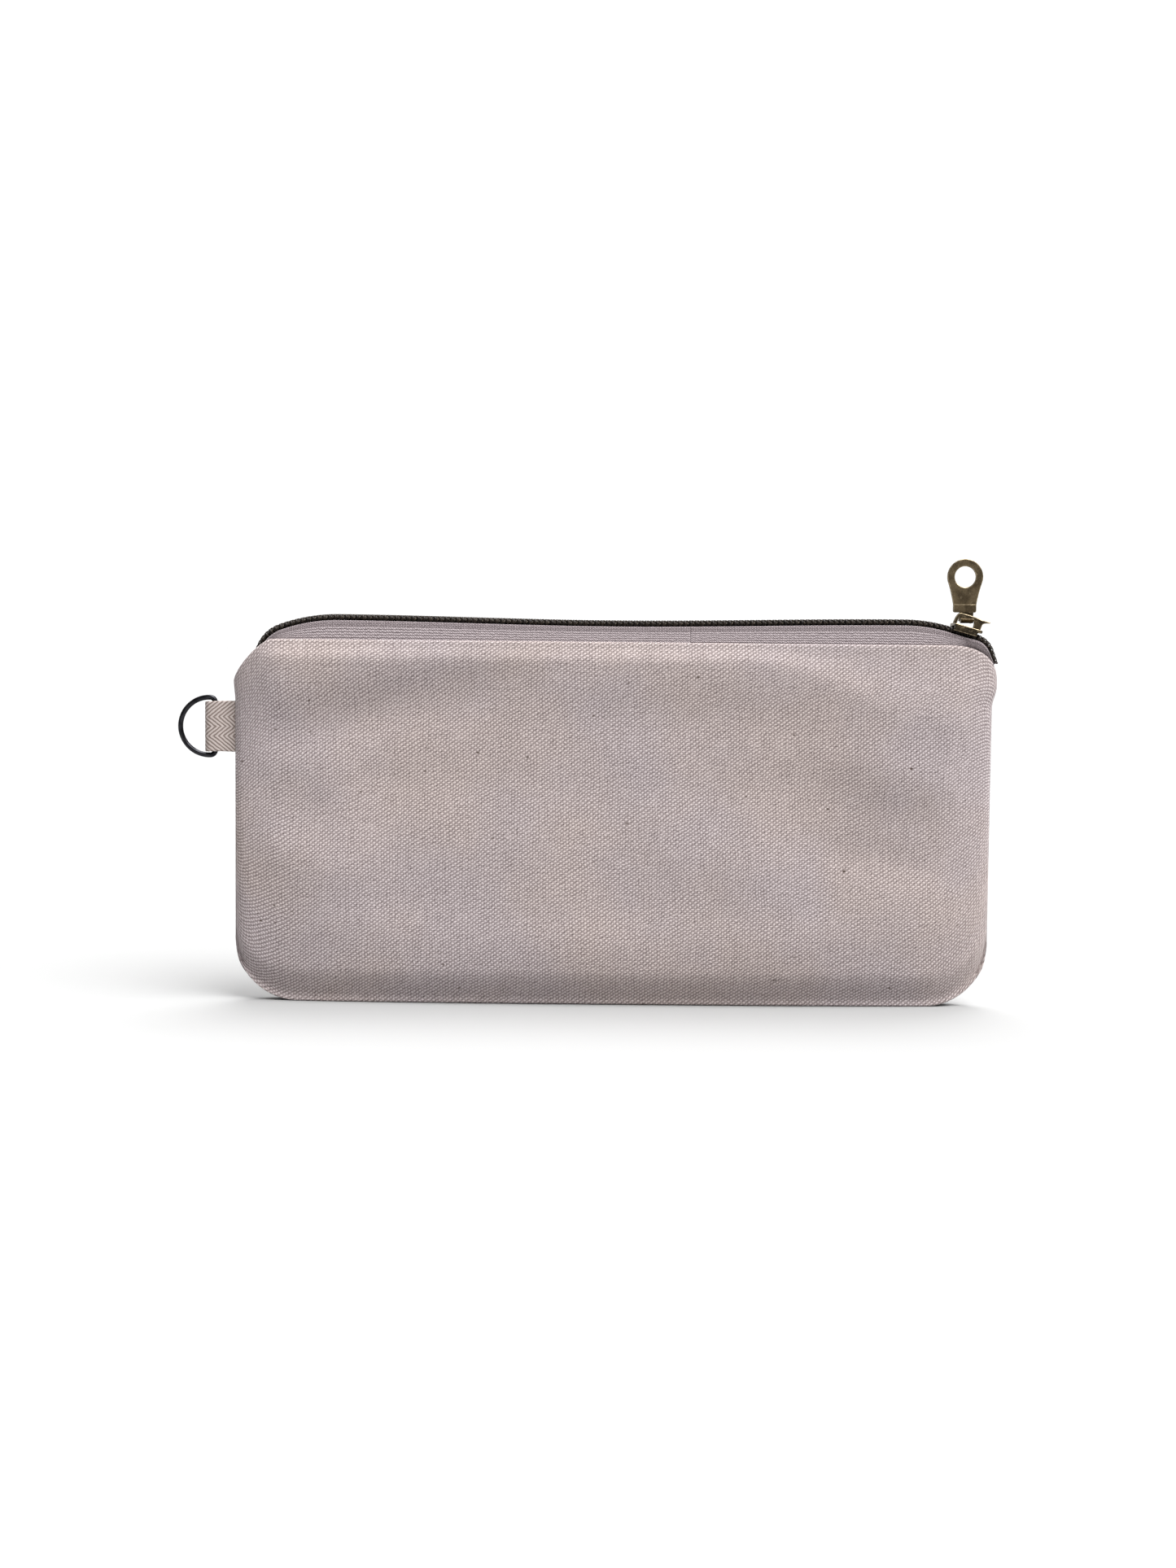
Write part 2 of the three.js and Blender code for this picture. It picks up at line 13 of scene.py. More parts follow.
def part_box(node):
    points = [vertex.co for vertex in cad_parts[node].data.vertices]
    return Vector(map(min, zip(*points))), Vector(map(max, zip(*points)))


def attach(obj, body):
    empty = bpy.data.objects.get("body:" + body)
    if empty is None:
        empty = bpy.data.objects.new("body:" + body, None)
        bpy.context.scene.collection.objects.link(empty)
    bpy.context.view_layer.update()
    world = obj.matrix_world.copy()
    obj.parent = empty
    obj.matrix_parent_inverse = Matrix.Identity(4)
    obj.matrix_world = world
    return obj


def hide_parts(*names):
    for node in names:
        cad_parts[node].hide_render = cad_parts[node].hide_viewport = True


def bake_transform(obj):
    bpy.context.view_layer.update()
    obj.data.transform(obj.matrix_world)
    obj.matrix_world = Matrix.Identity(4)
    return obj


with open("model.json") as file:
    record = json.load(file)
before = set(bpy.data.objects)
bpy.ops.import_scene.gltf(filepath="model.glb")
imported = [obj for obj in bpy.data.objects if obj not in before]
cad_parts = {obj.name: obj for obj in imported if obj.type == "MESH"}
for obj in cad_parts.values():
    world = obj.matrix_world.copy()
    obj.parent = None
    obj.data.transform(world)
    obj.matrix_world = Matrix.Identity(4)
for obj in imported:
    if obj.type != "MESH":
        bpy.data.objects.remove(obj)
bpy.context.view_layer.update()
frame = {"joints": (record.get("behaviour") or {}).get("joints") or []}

MM = 0.001
panel_low, panel_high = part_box("front_panel")
HALF = panel_high.x / MM
HEIGHT = panel_high.z / MM
BELLY_HALF = -panel_low.y / MM
NARROWING = {"left": (0.996, 0.996), "right": (0.988, 0.988)}  # below the ear, at the base
BASE_RADIUS = 17.5
BASE_HALF = 6.0
BELLY_Z = 22.0
SETTLING_FRAMES = 30
SETTLING_SHARE = 0.4  # how much of the simulated offset the cloth takes
MOUTH_HALF = 6.0
RIM = 1.7
SEAM_HALF = 0.12  # where the two panels meet
CORNER_DROP = 11.5
CORNERS = {"left": (93.0, 1.3), "right": (89.0, 2.5)}
CANVAS = 0.55  # thickness
WARP, WEFT = 0.733, 0.51  # the canvas's thread spacings
ROLL = 0.75  # outer radius of the folded mouth
HEM = 5.0
LINING_IN = 3.2  # how much narrower the lining is at each side

COIL_RISE = 1.0  # the coil's half height
CHAIN_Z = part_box("front_coil")[1].z / MM - COIL_RISE
SAG = 1.0  # how far the chain hangs in the middle
ROUTE_RIGHT = [(78, 0), (12, 16), (7.8, 0), (6, 52), (3.3, 0)]  # lengths, and the degrees they bend down
ROUTE_LEFT = [(75, 0), (16, 20), (9, 50), (1.5, 0)]
COIL_WIDTH = 3.0
COIL_SIDE = 0.15  # from the chain's middle to where a side's width begins
COIL_END = 0.72  # the coil's size at its ends, as a share
COIL_PITCH = 1.5
FILAMENT = 0.41  # radius
SLIDER_ALONG = 94.2
SLIDER_TILT = math.radians(16)
SPREAD = 0.8  # how far the slider's nose pushes each coil out
TAPE = 0.45  # thickness
TAPE_INSET = 1.7  # from the canvas's fold in to the tape
TAPE_ROW, TAPE_BEAD = 0.7, 0.635  # spacings of its ribs, across and along
BAR_LOCAL = (-0.6, 4.9)  # where the tab hangs, in the slider's own X and Z

FRONT = -1
BACK = 1
SIDES = ((FRONT, "front"), (BACK, "back"))

loop_low, loop_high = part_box("side_loop")
LOOP_Z = (loop_low.z + loop_high.z) / 2 / MM
LOOP_HALF = (loop_high.z - loop_low.z) / 2 / MM
BANDS = (4.3, 2.65, 2.65, 4.3)  # the herringbone's bands, from one edge to the other
BAND_EDGES = np.cumsum((0,) + BANDS) / sum(BANDS) * 2 * LOOP_HALF
RIB = 1.3
RIB_SLOPE = 1.2


def joint(name):
    return next(j for j in frame["joints"] if j["name"] == name)


# ---- meshes
def link(name, data):
    obj = bpy.data.objects.new(name, data)
    bpy.context.scene.collection.objects.link(obj)
    return obj


def make(name, verts, faces, uv=None):
    mesh = bpy.data.meshes.new(name)
    mesh.from_pydata((np.asarray(verts, float) * MM).tolist(), [], [list(map(int, f)) for f in faces])
    if uv is not None:
        layer = mesh.uv_layers.new(name="cloth")
        loops = np.zeros(len(mesh.loops), int)
        mesh.loops.foreach_get("vertex_index", loops)
        layer.data.foreach_set("uv", np.asarray(uv, np.float32)[loops].ravel())
    mesh.validate()
    mesh.shade_smooth()
    return link(name, mesh)


def grid_quads(rows, cols, start=0, flip=False):
    i, j = np.meshgrid(np.arange(rows - 1), np.arange(cols - 1), indexing="ij")
    a = start + i * cols + j
    quads = np.stack([a, a + 1, a + cols + 1, a + cols], -1).reshape(-1, 4)
    return quads[:, ::-1] if flip else quads


def shell_faces(rows, cols, flip=False):
    """The faces of a closed sheet with an outer and an inner grid."""
    n = rows * cols
    faces = [grid_quads(rows, cols, 0, flip), grid_quads(rows, cols, n, not flip)]
    rims = [
        np.arange(cols),
        np.arange(rows) * cols + cols - 1,
        np.arange(cols)[::-1] + (rows - 1) * cols,
        np.arange(rows)[::-1] * cols,
    ]
    for rim in rims:
        a, b = rim[:-1], rim[1:]
        quads = np.stack([b, a, a + n, b + n], -1)
        faces.append(quads[:, ::-1] if flip else quads)
    return np.concatenate(faces)


def shell(outer, inner, u, v, flip=False):
    """A closed sheet between two grids of points: its verts, faces and uv."""
    verts = np.concatenate([outer.reshape(-1, 3), inner.reshape(-1, 3)])
    uv = np.stack(np.broadcast_arrays(u, v), -1).reshape(-1, 2)
    return verts, shell_faces(*outer.shape[:2], flip), np.concatenate([uv, uv])


def normals_of(grid):
    du = np.gradient(grid, axis=1)
    dv = np.gradient(grid, axis=0)
    n = np.cross(du, dv)
    return n / np.maximum(np.linalg.norm(n, axis=2, keepdims=True), 1e-9)


def steps_along(points):
    """How far along its line each point lies."""
    return np.concatenate([[0], np.cumsum(np.linalg.norm(np.diff(points, axis=0), axis=1))])


def tube(points, radius, sides=8, closed=False):
    """A round tube along points, with its ends capped unless it closes on itself."""
    p = np.asarray(points, float)
    n = len(p)
    r = np.broadcast_to(np.asarray(radius, float), (n,))
    if closed:
        t = np.roll(p, -1, 0) - np.roll(p, 1, 0)
    else:
        t = np.gradient(p, axis=0)
    t /= np.linalg.norm(t, axis=1, keepdims=True)
    side = np.cross(t[0], (0.31, 0.17, 0.93))
    side /= np.linalg.norm(side)
    frames = []
    for k in range(n):
        side = side - t[k] * np.dot(side, t[k])
        side /= np.linalg.norm(side)
        frames.append(side.copy())
    a = np.array(frames)
    b = np.cross(t, a)
    ang = np.linspace(0, 2 * np.pi, sides, endpoint=False)
    ring = a[:, None] * np.cos(ang)[None, :, None] + b[:, None] * np.sin(ang)[None, :, None]
    verts = (p[:, None] + ring * r[:, None, None]).reshape(-1, 3)
    i = np.arange(n if closed else n - 1)
    j = np.arange(sides)
    ii, jj = np.meshgrid(i, j, indexing="ij")
    nxt, over = (ii + 1) % n, (jj + 1) % sides
    faces = np.stack([ii * sides + jj, ii * sides + over, nxt * sides + over, nxt * sides + jj], -1)
    faces = faces.reshape(-1, 4).tolist()
    if not closed:
        faces.append(list(range(sides))[::-1])
        faces.append([(n - 1) * sides + k for k in range(sides)])
    uv = np.stack(np.broadcast_arrays(steps_along(p)[:, None], (ang * 0.16)[None, :]), -1).reshape(-1, 2)
    return verts, faces, uv


def merged(parts):
    """Several (verts, faces, uv) as one."""
    verts, faces, uvs, base = [], [], [], 0
    for v, f, uv in parts:
        verts.append(v)
        faces += [[int(i) + base for i in face] for face in f]
        uvs.append(uv)
        base += len(v)
    return np.concatenate(verts), faces, np.concatenate(uvs)


def plate(name, loops, thickness, bevel):
    """A flat plate with rounded edges in the XY plane, from its outline and its holes."""
    curve = bpy.data.curves.new(name, "CURVE")
    curve.dimensions = "2D"
    curve.fill_mode = "BOTH"
    curve.extrude = (thickness / 2 - bevel) * MM
    curve.bevel_depth = bevel * MM
    curve.bevel_resolution = 3
    curve.offset = -bevel * MM
    for loop in loops:
        spline = curve.splines.new("POLY")
        spline.points.add(len(loop) - 1)
        spline.points.foreach_set("co", [c for x, y in loop for c in (x * MM, y * MM, 0, 1)])
        spline.use_cyclic_u = True
    obj = link(name, curve)
    mesh = bpy.data.meshes.new_from_object(obj.evaluated_get(bpy.context.evaluated_depsgraph_get()))
    bpy.data.objects.remove(obj)
    return link(name, mesh)


def upright(obj, y=0.0):
    """Turns a plate to stand in the XZ plane, at a depth y."""
    obj.rotation_euler.x = math.pi / 2
    obj.location.y = y * MM
    return obj


def joined(name, parts):
    """Objects as one, with all their moves applied."""
    bpy.context.view_layer.update()
    verts, faces, base = [], [], 0
    for o in parts:
        m = np.array(o.matrix_world)
        co = np.array([v.co for v in o.data.vertices], float)
        verts.append(co @ m[:3, :3].T + m[:3, 3])
        faces += [[i + base for i in p.vertices] for p in o.data.polygons]
        base += len(co)
    for o in parts:
        bpy.data.objects.remove(o)
    mesh = bpy.data.meshes.new(name)
    mesh.from_pydata(np.concatenate(verts).tolist(), [], faces)
    mesh.validate()
    mesh.shade_smooth()
    mesh.set_sharp_from_angle(angle=math.radians(40))
    edge_wear_and_highlight = mesh.attributes.new("edge_wear_and_highlight", "FLOAT", "FACE")  # 1 on the narrow faces of the rounded edges, which the brass colours as worn edges with a painted highlight
    for face in mesh.polygons:
        p = [mesh.vertices[i].co for i in face.vertices]
        shortest = min((p[k] - p[k - 1]).length for k in range(len(p)))
        edge_wear_and_highlight.data[face.index].value = float(len(p) == 4 and shortest < 0.13 * MM)
    return link(name, mesh)


def arc(cx, cy, r, start, end, count):
    a = np.radians(np.linspace(start, end, count))
    return list(zip(cx + r * np.cos(a), cy + r * np.sin(a)))


def curve_to(points, control, end, count=8):
    """Adds a quadratic curve from the last point."""
    first = points[-1]
    for t in np.linspace(0, 1, count + 1)[1:]:
        shares = ((1 - t) ** 2, 2 * t * (1 - t), t * t)
        points.append(tuple(sum(s * p[k] for s, p in zip(shares, (first, control, end))) for k in (0, 1)))


# ---- the body's shape
def smooth(x, a, b):
    t = np.clip((np.asarray(x, float) - a) / (b - a), 0, 1)
    return t * t * (3 - 2 * t)


def lerp(a, b, t):
    return a + (b - a) * t


def fold_z(x):
    x = np.asarray(x, float)
    start = np.where(x < 0, CORNERS["left"][0], CORNERS["right"][0])
    power = np.where(x < 0, CORNERS["left"][1], CORNERS["right"][1])
    u = np.clip((np.abs(x) - start) / (HALF - start), 0, 1)
    return HEIGHT - CORNER_DROP * (1 - (1 - u**power) ** (1 / power))


def base_z(x):
    u = np.maximum(0, np.abs(x) - (HALF - BASE_RADIUS))
    return BASE_RADIUS - np.sqrt(np.maximum(0, BASE_RADIUS**2 - u**2))


def depth_at(v):
    z = np.asarray(v, float) * HEIGHT
    low = lerp(BASE_HALF, BELLY_HALF, np.sqrt(np.clip(1 - (1 - np.minimum(z, BELLY_Z) / BELLY_Z) ** 2, 0, 1)))
    t = (z - BELLY_Z) / (HEIGHT - BELLY_Z)
    high = lerp(MOUTH_HALF, BELLY_HALF, 0.5 + 0.5 * np.cos(np.pi * t))
    return np.where(z < BELLY_Z, low, high)


def half_depth(x, v, rounded=False):
    """Half depth of the body. rounded takes it down to the seam at the very edge."""
    power = lerp(2.6, 14, smooth(v, 0.6, 1))
    across = (1 - np.clip(np.abs(x) / HALF, 0, 1) ** power) ** 0.6
    rim = RIM
    if rounded:
        d = np.clip((HALF - np.abs(x)) / lerp(5, 2.2, smooth(v, 0.15, 0.6)), 0, 1)
        rim = RIM * np.sqrt(1 - (1 - d) ** 2)
    return np.maximum(rim + (depth_at(v) - RIM) * across, SEAM_HALF)


def reach(x, z):
    """How far out a column lies at each height, as a share."""
    below = np.where(x < 0, NARROWING["left"][0], NARROWING["right"][0])
    base = np.where(x < 0, NARROWING["left"][1], NARROWING["right"][1])
    ear = HEIGHT - 17
    return lerp(lerp(base, below, np.clip(z / ear, 0, 1)), 1, smooth(z, ear, ear + 6))


def waves(x, z, seed):
    """Soft hollows and swells of the cloth, in millimetres out of the surface."""
    rng = np.random.default_rng(seed)
    total = np.zeros(np.broadcast(x, z).shape)
    for _ in range(14):
        length = rng.uniform(26, 80)
        angle = rng.uniform(0, np.pi)
        phase = rng.uniform(0, 2 * np.pi)
        k = 2 * np.pi / length
        total = total + (length / 80) * np.sin(k * (x * np.cos(angle) + z * np.sin(angle)) + phase)
    return 0.11 * total


def bump(x, z, cx, cz, rx, rz, turn=0.0):
    """1 at its centre and falling off over rx and rz, turned by some degrees."""
    a = math.radians(turn)
    dx, dz = x - cx, z - cz
    u = (dx * math.cos(a) + dz * math.sin(a)) / rx
    w = (-dx * math.sin(a) + dz * math.cos(a)) / rz
    return np.exp(-(u * u + w * w))


def cloth_field(side):
    """How a panel's cloth settles: a simulated sheet, pinned at its seams and fold, a little too large."""
    cols, rows = 90, 46
    x = HALF * 0.985 * np.linspace(-1, 1, cols)
    v = np.linspace(0.03, 0.985, rows)
    xx, vv = np.meshgrid(x, v)
    zz = base_z(xx) + (fold_z(xx) - base_z(xx)) * vv
    yy = side * half_depth(xx, vv)
    flat = np.stack([xx * reach(xx, zz), yy, zz], -1).reshape(-1, 3)
    obj = make("settling_cloth", flat, grid_quads(rows, cols))
    pins = obj.vertex_groups.new(name="pins")
    edge = np.minimum.reduce([xx - x[0], x[-1] - xx, (vv - v[0]) * HEIGHT, (v[-1] - vv) * HEIGHT]).ravel()
    for i, d in enumerate(edge):
        weight = float(1 - smooth(d, 0.5, 24))
        if weight > 0.01:
            pins.add([i], weight, "REPLACE")
    mod = obj.modifiers.new("Cloth", "CLOTH")
    s = mod.settings
    s.quality = 6
    s.mass = 0.35
    s.tension_stiffness = 25
    s.compression_stiffness = 25
    s.shear_stiffness = 12
    s.bending_stiffness = 60
    s.air_damping = 4
    s.vertex_group_mass = "pins"
    s.shrink_min = -0.006
    s.use_pressure = True
    s.uniform_pressure_force = 0.3
    s.effector_weights.gravity = 0.6
    mod.collision_settings.use_collision = False
    mod.collision_settings.use_self_collision = False
    scene = bpy.context.scene
    mod.point_cache.frame_start = 1
    mod.point_cache.frame_end = SETTLING_FRAMES
    for f in range(1, SETTLING_FRAMES + 1):
        scene.frame_set(f)
    done = obj.evaluated_get(bpy.context.evaluated_depsgraph_get()).to_mesh()
    co = np.zeros(len(done.vertices) * 3)
    done.vertices.foreach_get("co", co)
    rested = co.reshape(-1, 3) / MM
    bpy.data.objects.remove(obj)
    scene.frame_set(1)
    out = side * (rested - flat)[:, 1].reshape(rows, cols)
    out = np.clip(out, -3.0, 3.0)
    for _ in range(8):  # smooths away what is finer than the cloth's own folds
        out[1:-1] = 0.5 * out[1:-1] + 0.25 * (out[:-2] + out[2:])
        out[:, 1:-1] = 0.5 * out[:, 1:-1] + 0.25 * (out[:, :-2] + out[:, 2:])
    return x, v, SETTLING_SHARE * out


def sampled(field, x, v):
    """The settled cloth's offset at any place, by bilinear interpolation."""
    xs, vs, out = field
    fx = np.clip((x - xs[0]) / (xs[-1] - xs[0]), 0, 1) * (len(xs) - 1)
    fv = np.clip((v - vs[0]) / (vs[-1] - vs[0]), 0, 1) * (len(vs) - 1)
    i, j = np.minimum(fv.astype(int), len(vs) - 2), np.minimum(fx.astype(int), len(xs) - 2)
    a, b = fv - i, fx - j
    top = out[i, j] * (1 - b) + out[i, j + 1] * b
    low = out[i + 1, j] * (1 - b) + out[i + 1, j + 1] * b
    return top * (1 - a) + low * a


# Hollows (negative) and swells: height, then the centre, the reach along and up, and the turn in degrees.
CREASES = {
    FRONT: (
        (-2.9, -68, 79, 46, 8.5, 12),
        (-1.4, -58, 67, 48, 15, 12),
        (-1.1, 14, 79, 46, 9, 0),
        (1.6, 80, 62, 18, 8, -8),
        (1.0, -88, 64, 18, 8, -12),
        (0.9, -86, 40, 22, 8, -12),
        (0.8, 30, 40, 34, 14, -14),
        (-0.9, 74, 40, 20, 6, -10),
    ),
    BACK: (
        (-1.5, 20, 76, 60, 12, 0),
        (-1.0, -60, 46, 26, 14, 20),
    ),
}


def under_fold(z, right):
    """The body swells towards the fold and draws in just below it, over a longer way at the right."""
    rise = smooth(z, lerp(56, 45, right), 89)
    fall = 1 - smooth(z - lerp(93, 76, right), 0, lerp(5.3, 22, right))
    return (1.8 + 0.9 * right) * rise * fall


def settled(x, v, z, side, seed, field):
    """How far the cloth stands out from its even shape: its wrinkles, hollows and swells."""
    inside = smooth(HALF - np.abs(x), 0.5, 14) * smooth(v, 0.02, 0.2)
    out = inside * (1 - 0.9 * smooth(v, 0.88, 0.99)) * (waves(x, z, seed) + sampled(field, x, v))
    right = smooth(x, 35, 90) if side == FRONT else 0.0
    out = out + inside * under_fold(z, right)
    out = out - 2.4 * (1 - smooth(v, 0, 0.1)) * smooth(v, -0.01, 0.02)
    for height, *place in CREASES[side]:
        out = out + inside * height * bump(x, z, *place)
    return out


def canvas(side, seed, field):
    """A canvas panel: out along the sole, up the face, over the fold and down inside as a hem."""
    edge = np.linspace(0, 1, 22)[1:] ** 2 * 3.0
    x = np.linspace(3.2 - HALF, HALF - 3.2, 236)
    x = np.unique(np.round(np.concatenate([x, HALF - edge, edge - HALF, [-HALF, HALF]]), 4))
    low, high = base_z(x), fold_z(x)
    roll = np.minimum(ROLL, half_depth(x, 1.0, True) * 0.45)
    v1 = 1 - roll / (high - low)

    def face(v):
        z = low + (high - low) * v
        return half_depth(x, v, True) + settled(x, v, z, side, seed, field), z

    rows = []
    y0 = face(np.zeros_like(x))[0]
    for t in np.linspace(0, 1, 9)[:-1]:
        rows.append((lerp(SEAM_HALF, y0, t), low))
    for t in np.linspace(0, 1, 110):
        rows.append(face(v1 * t**1.35))
    y_top = rows[-1][0]
    for a in np.linspace(0, np.pi, 11)[1:]:
        rows.append((y_top - roll + roll * np.cos(a), high - roll + roll * np.sin(a)))
    for t in np.linspace(0, 1, 6)[1:]:
        rows.append((rows[-1][0], high - roll - HEM * t * np.minimum(1, (high - 80) / 15)))
    y, z = (np.array(part) for part in zip(*rows))
    for _ in range(5):  # rounds the corner between sole and face
        for k in range(5, 22):
            y[k] = 0.5 * y[k] + 0.25 * (y[k - 1] + y[k + 1])
            z[k] = 0.5 * z[k] + 0.25 * (z[k - 1] + z[k + 1])
    thick = CANVAS * np.clip((HALF - np.abs(x)) / 1.6, 0.08, 1)
    name = ("front" if side == FRONT else "back") + "_canvas"
    return cloth_sheet(name, side, x, y, z, thick, 0.1, 0.06)


def cloth_sheet(name, side, x, y, z, thick, least, inmost):
    """A closed sheet from its profile rows, with the cloth's own lengths as its UV."""
    xx = np.broadcast_to(x, y.shape)
    outer = np.stack([xx * reach(xx, z), side * np.maximum(y, least), z], -1)
    n = normals_of(outer) * (1 if side == FRONT else -1)
    inner = outer - n * np.broadcast_to(thick, y.shape)[..., None]
    inner[..., 1] = side * np.maximum(side * inner[..., 1], inmost)
    length = np.concatenate([[0], np.cumsum(np.hypot(np.diff(y.mean(1)), np.diff(z.mean(1))))])
    return make(name, *shell(outer, inner, xx, length[:, None], side == BACK))


def lining(side, seed, field):
    """The lining's half: it follows the canvas inside, loosely."""
    half = HALF - LINING_IN
    x = half * np.sin(np.pi / 2 * np.linspace(-1, 1, 120))
    deep = 2.6
    low = base_z(x * HALF / half) + deep
    high = fold_z(x) - 0.6 - 7 * smooth(np.abs(x), 86, 97)
    rows = []
    for t in np.linspace(0, 1, 7)[:-1]:
        y0 = np.maximum(half_depth(x, 0.0) - deep, 0.6)
        rows.append((lerp(0.15, y0, t), low))
    for t in np.linspace(0, 1, 60):
        v = t**1.35
        z = low + (high - low) * v
        y = half_depth(x, v) - deep + np.minimum(settled(x, v, z, side, seed, field), 0)
        inside = smooth(half - np.abs(x), 1, 14) * smooth(v, 0.04, 0.2) * (1 - smooth(v, 0.86, 0.97))
        rows.append((y - inside * (0.25 + 0.35 * np.abs(waves(x, z, seed + 1))), z))
    y, z = (np.array(part) for part in zip(*rows))
    y[6:] = np.maximum(y[6:], 0.6)
    name = ("front" if side == FRONT else "back") + "_lining_cloth"
    return cloth_sheet(name, side, x, y, z, 0.3, 0.15, 0.08)


# ---- the zipper chain
def walk(pieces):
    s, x, d, h = [0.0], [0.0], [0.0], [0.0]
    for length, turn in pieces:
        n = max(2, int(length / 0.1))
        for _ in range(n):
            mid = math.radians(h[-1] + turn / n / 2)
            s.append(s[-1] + length / n)
            x.append(x[-1] + length / n * math.cos(mid))
            d.append(d[-1] + length / n * math.sin(mid))
            h.append(h[-1] + turn / n)
    return np.array([s, x, d, h])


right_walk, left_walk = walk(ROUTE_RIGHT), walk(ROUTE_LEFT)
TABLE_S = np.concatenate([-left_walk[0][:0:-1], right_walk[0]])
TABLE_X = np.concatenate([-left_walk[1][:0:-1], right_walk[1]])
TABLE_D = np.concatenate([left_walk[2][:0:-1], right_walk[2]])
TABLE_H = np.concatenate([-left_walk[3][:0:-1], right_walk[3]])
LEFT_END, RIGHT_END = TABLE_S[0], TABLE_S[-1]


def route(s):
    """Where the chain runs: place, unit tangent and unit upward normal."""
    x = np.interp(s, TABLE_S, TABLE_X)
    sag = SAG * np.cos(np.pi * np.clip(x / 78, -1, 1) / 2) ** 2
    z = CHAIN_Z - np.interp(s, TABLE_S, TABLE_D) - sag
    h = np.radians(np.interp(s, TABLE_S, TABLE_H))
    zero = np.zeros_like(x)
    return (
        np.stack([x, zero, z], -1),
        np.stack([np.cos(h), zero, -np.sin(h)], -1),
        np.stack([np.sin(h), zero, np.cos(h)], -1),
    )


def spread_at(s):
    return SPREAD * smooth(s, SLIDER_ALONG + 0.3, SLIDER_ALONG + 2) * (1 - smooth(s, 99, 105))


def size_at(s):
    s = np.asarray(s, float)
    end = np.where(s < 0, -LEFT_END, RIGHT_END)
    return lerp(1, COIL_END, smooth(np.abs(s), end - 9, end))


def on_chain(s, across, up):
    """Points across and above the chain's middle, at distances s along it."""
    p, _, n = route(s)
    return p + n * np.asarray(up)[..., None] + np.stack([0 * s, np.broadcast_to(across, s.shape), 0 * s], -1)


def coil(side, start, end):
    """The wound filament of one side, which reaches over the middle to mesh with the other side's."""
    per_turn = 14
    first = math.ceil(start / COIL_PITCH * per_turn)
    last = math.floor(end / COIL_PITCH * per_turn)
    k = np.arange(first, last + 1)
    s = k * COIL_PITCH / per_turn
    phase = 2 * np.pi * k / per_turn + (np.pi if side == BACK else 0)
    size, spread = size_at(s), spread_at(s)
    outer = COIL_SIDE + COIL_WIDTH - FILAMENT
    across = side * (spread + size * outer / 2 * (1 - np.cos(phase)))
    lean = 0.18 * np.sin(phase) * size
    up = size * (COIL_RISE - FILAMENT) * np.sin(phase) * (1 - 0.12 * np.cos(phase) ** 4)
    return tube(on_chain(s + lean, across, up), FILAMENT * size, 8)


def cord_and_stitches(side, start, end):
    """The cord inside a coil, in two plies, and the two rows of thread that sew the coil to its tape."""
    parts = []
    s = np.arange(start, end, 0.3)
    size, spread = size_at(s), spread_at(s)
    middle = spread + size * (COIL_SIDE + COIL_WIDTH / 2)
    for ply in (0, np.pi):
        a = 2 * np.pi * s / 2.4 + ply
        ply_line = on_chain(s, side * (middle + size * 0.34 * np.cos(a)), size * 0.15 * np.sin(a))
        parts.append(tube(ply_line, 0.3 * size, 6))
    for place in (0.40, 0.62):
        s = np.arange(start, end, 0.15)
        size, spread = size_at(s), spread_at(s)
        dip = 0.1 * np.cos(2 * np.pi * (s / COIL_PITCH + 0.25))
        across = side * (spread + size * (COIL_SIDE + COIL_WIDTH * place))
        parts.append(tube(on_chain(s, across, size * (0.70 + dip)), 0.16 * size, 6))
    return merged(parts)


def tape(side, start, end, hidden=False):
    """One side's tape: the shown part from inside the fold up and in under the coil, or the sewn part."""
    s = np.arange(start, end + 0.01, 0.5)
    size, spread = size_at(s), spread_at(s)
    p, _, n = route(s)
    edge = COIL_SIDE + spread
    far = edge + size * COIL_WIDTH
    x_fold = p[:, 0]
    face = np.maximum(0.7, half_depth(x_fold, 1.0) - TAPE_INSET)
    under = 1.02 * size
    top = p - n * under[:, None]
    fold = np.minimum(fold_z(x_fold), top[:, 2] - 1.6)
    x = top[:, 0]

    def row(y, z):
        return np.stack([x, side * np.broadcast_to(y, x.shape), z], -1)

    if hidden:
        bottom = fold - 9 * size
        outer = [row(face, lerp(fold - 0.9, bottom, t)) for t in np.linspace(1, 0, 5)]
        inner = [row(face - TAPE, lerp(fold - 0.9, bottom, t)) for t in np.linspace(1, 0, 5)]
    else:
        t2 = top[:, 2]
        lip = far + 0.75
        outer = [
            row(face, fold - 0.8),
            row(face, fold + 0.2),
            row(lerp(face, lip, 0.6), lerp(fold, t2 - 0.5, 0.55)),
            row(lip, t2 - 0.4),
            row(lip - 0.1, t2 + 0.1 * size),
            row(far + 0.45, t2 + 0.32 * size),
            row(far + 0.15, t2 + 0.2 * size),
            row(far - 0.3, t2),
            row(edge + 0.1, t2),
        ]
        inner = [
            row(face - TAPE, fold - 0.8),
            row(face - TAPE, fold + 0.2),
            row(lerp(face, lip, 0.6) - TAPE, lerp(fold, t2 - 0.5, 0.55)),
            row(lip - TAPE, t2 - 0.5),
            row(lip - TAPE - 0.05, t2 - 0.3),
            row(far + 0.2, t2 - 0.2),
            row(far, t2 - 0.28),
            row(far - 0.3, t2 - TAPE),
            row(edge + 0.1, t2 - TAPE),
        ]
        for _ in range(2):
            outer, inner = cut_corners(outer), cut_corners(inner)
    outer, inner = np.array(outer), np.array(inner)
    length = steps_along(outer[:, len(s) // 2])
    length = length - length[-1]
    return shell(outer, inner, s[None, :], length[:, None], side == BACK)


def cut_corners(rows):
    """One round of corner cutting along a profile that keeps its two ends."""
    out = [rows[0]]
    for a, b in zip(rows[:-1], rows[1:]):
        out += [0.75 * a + 0.25 * b, 0.25 * a + 0.75 * b]
    return out[:1] + out[2:-1] + [rows[-1]]


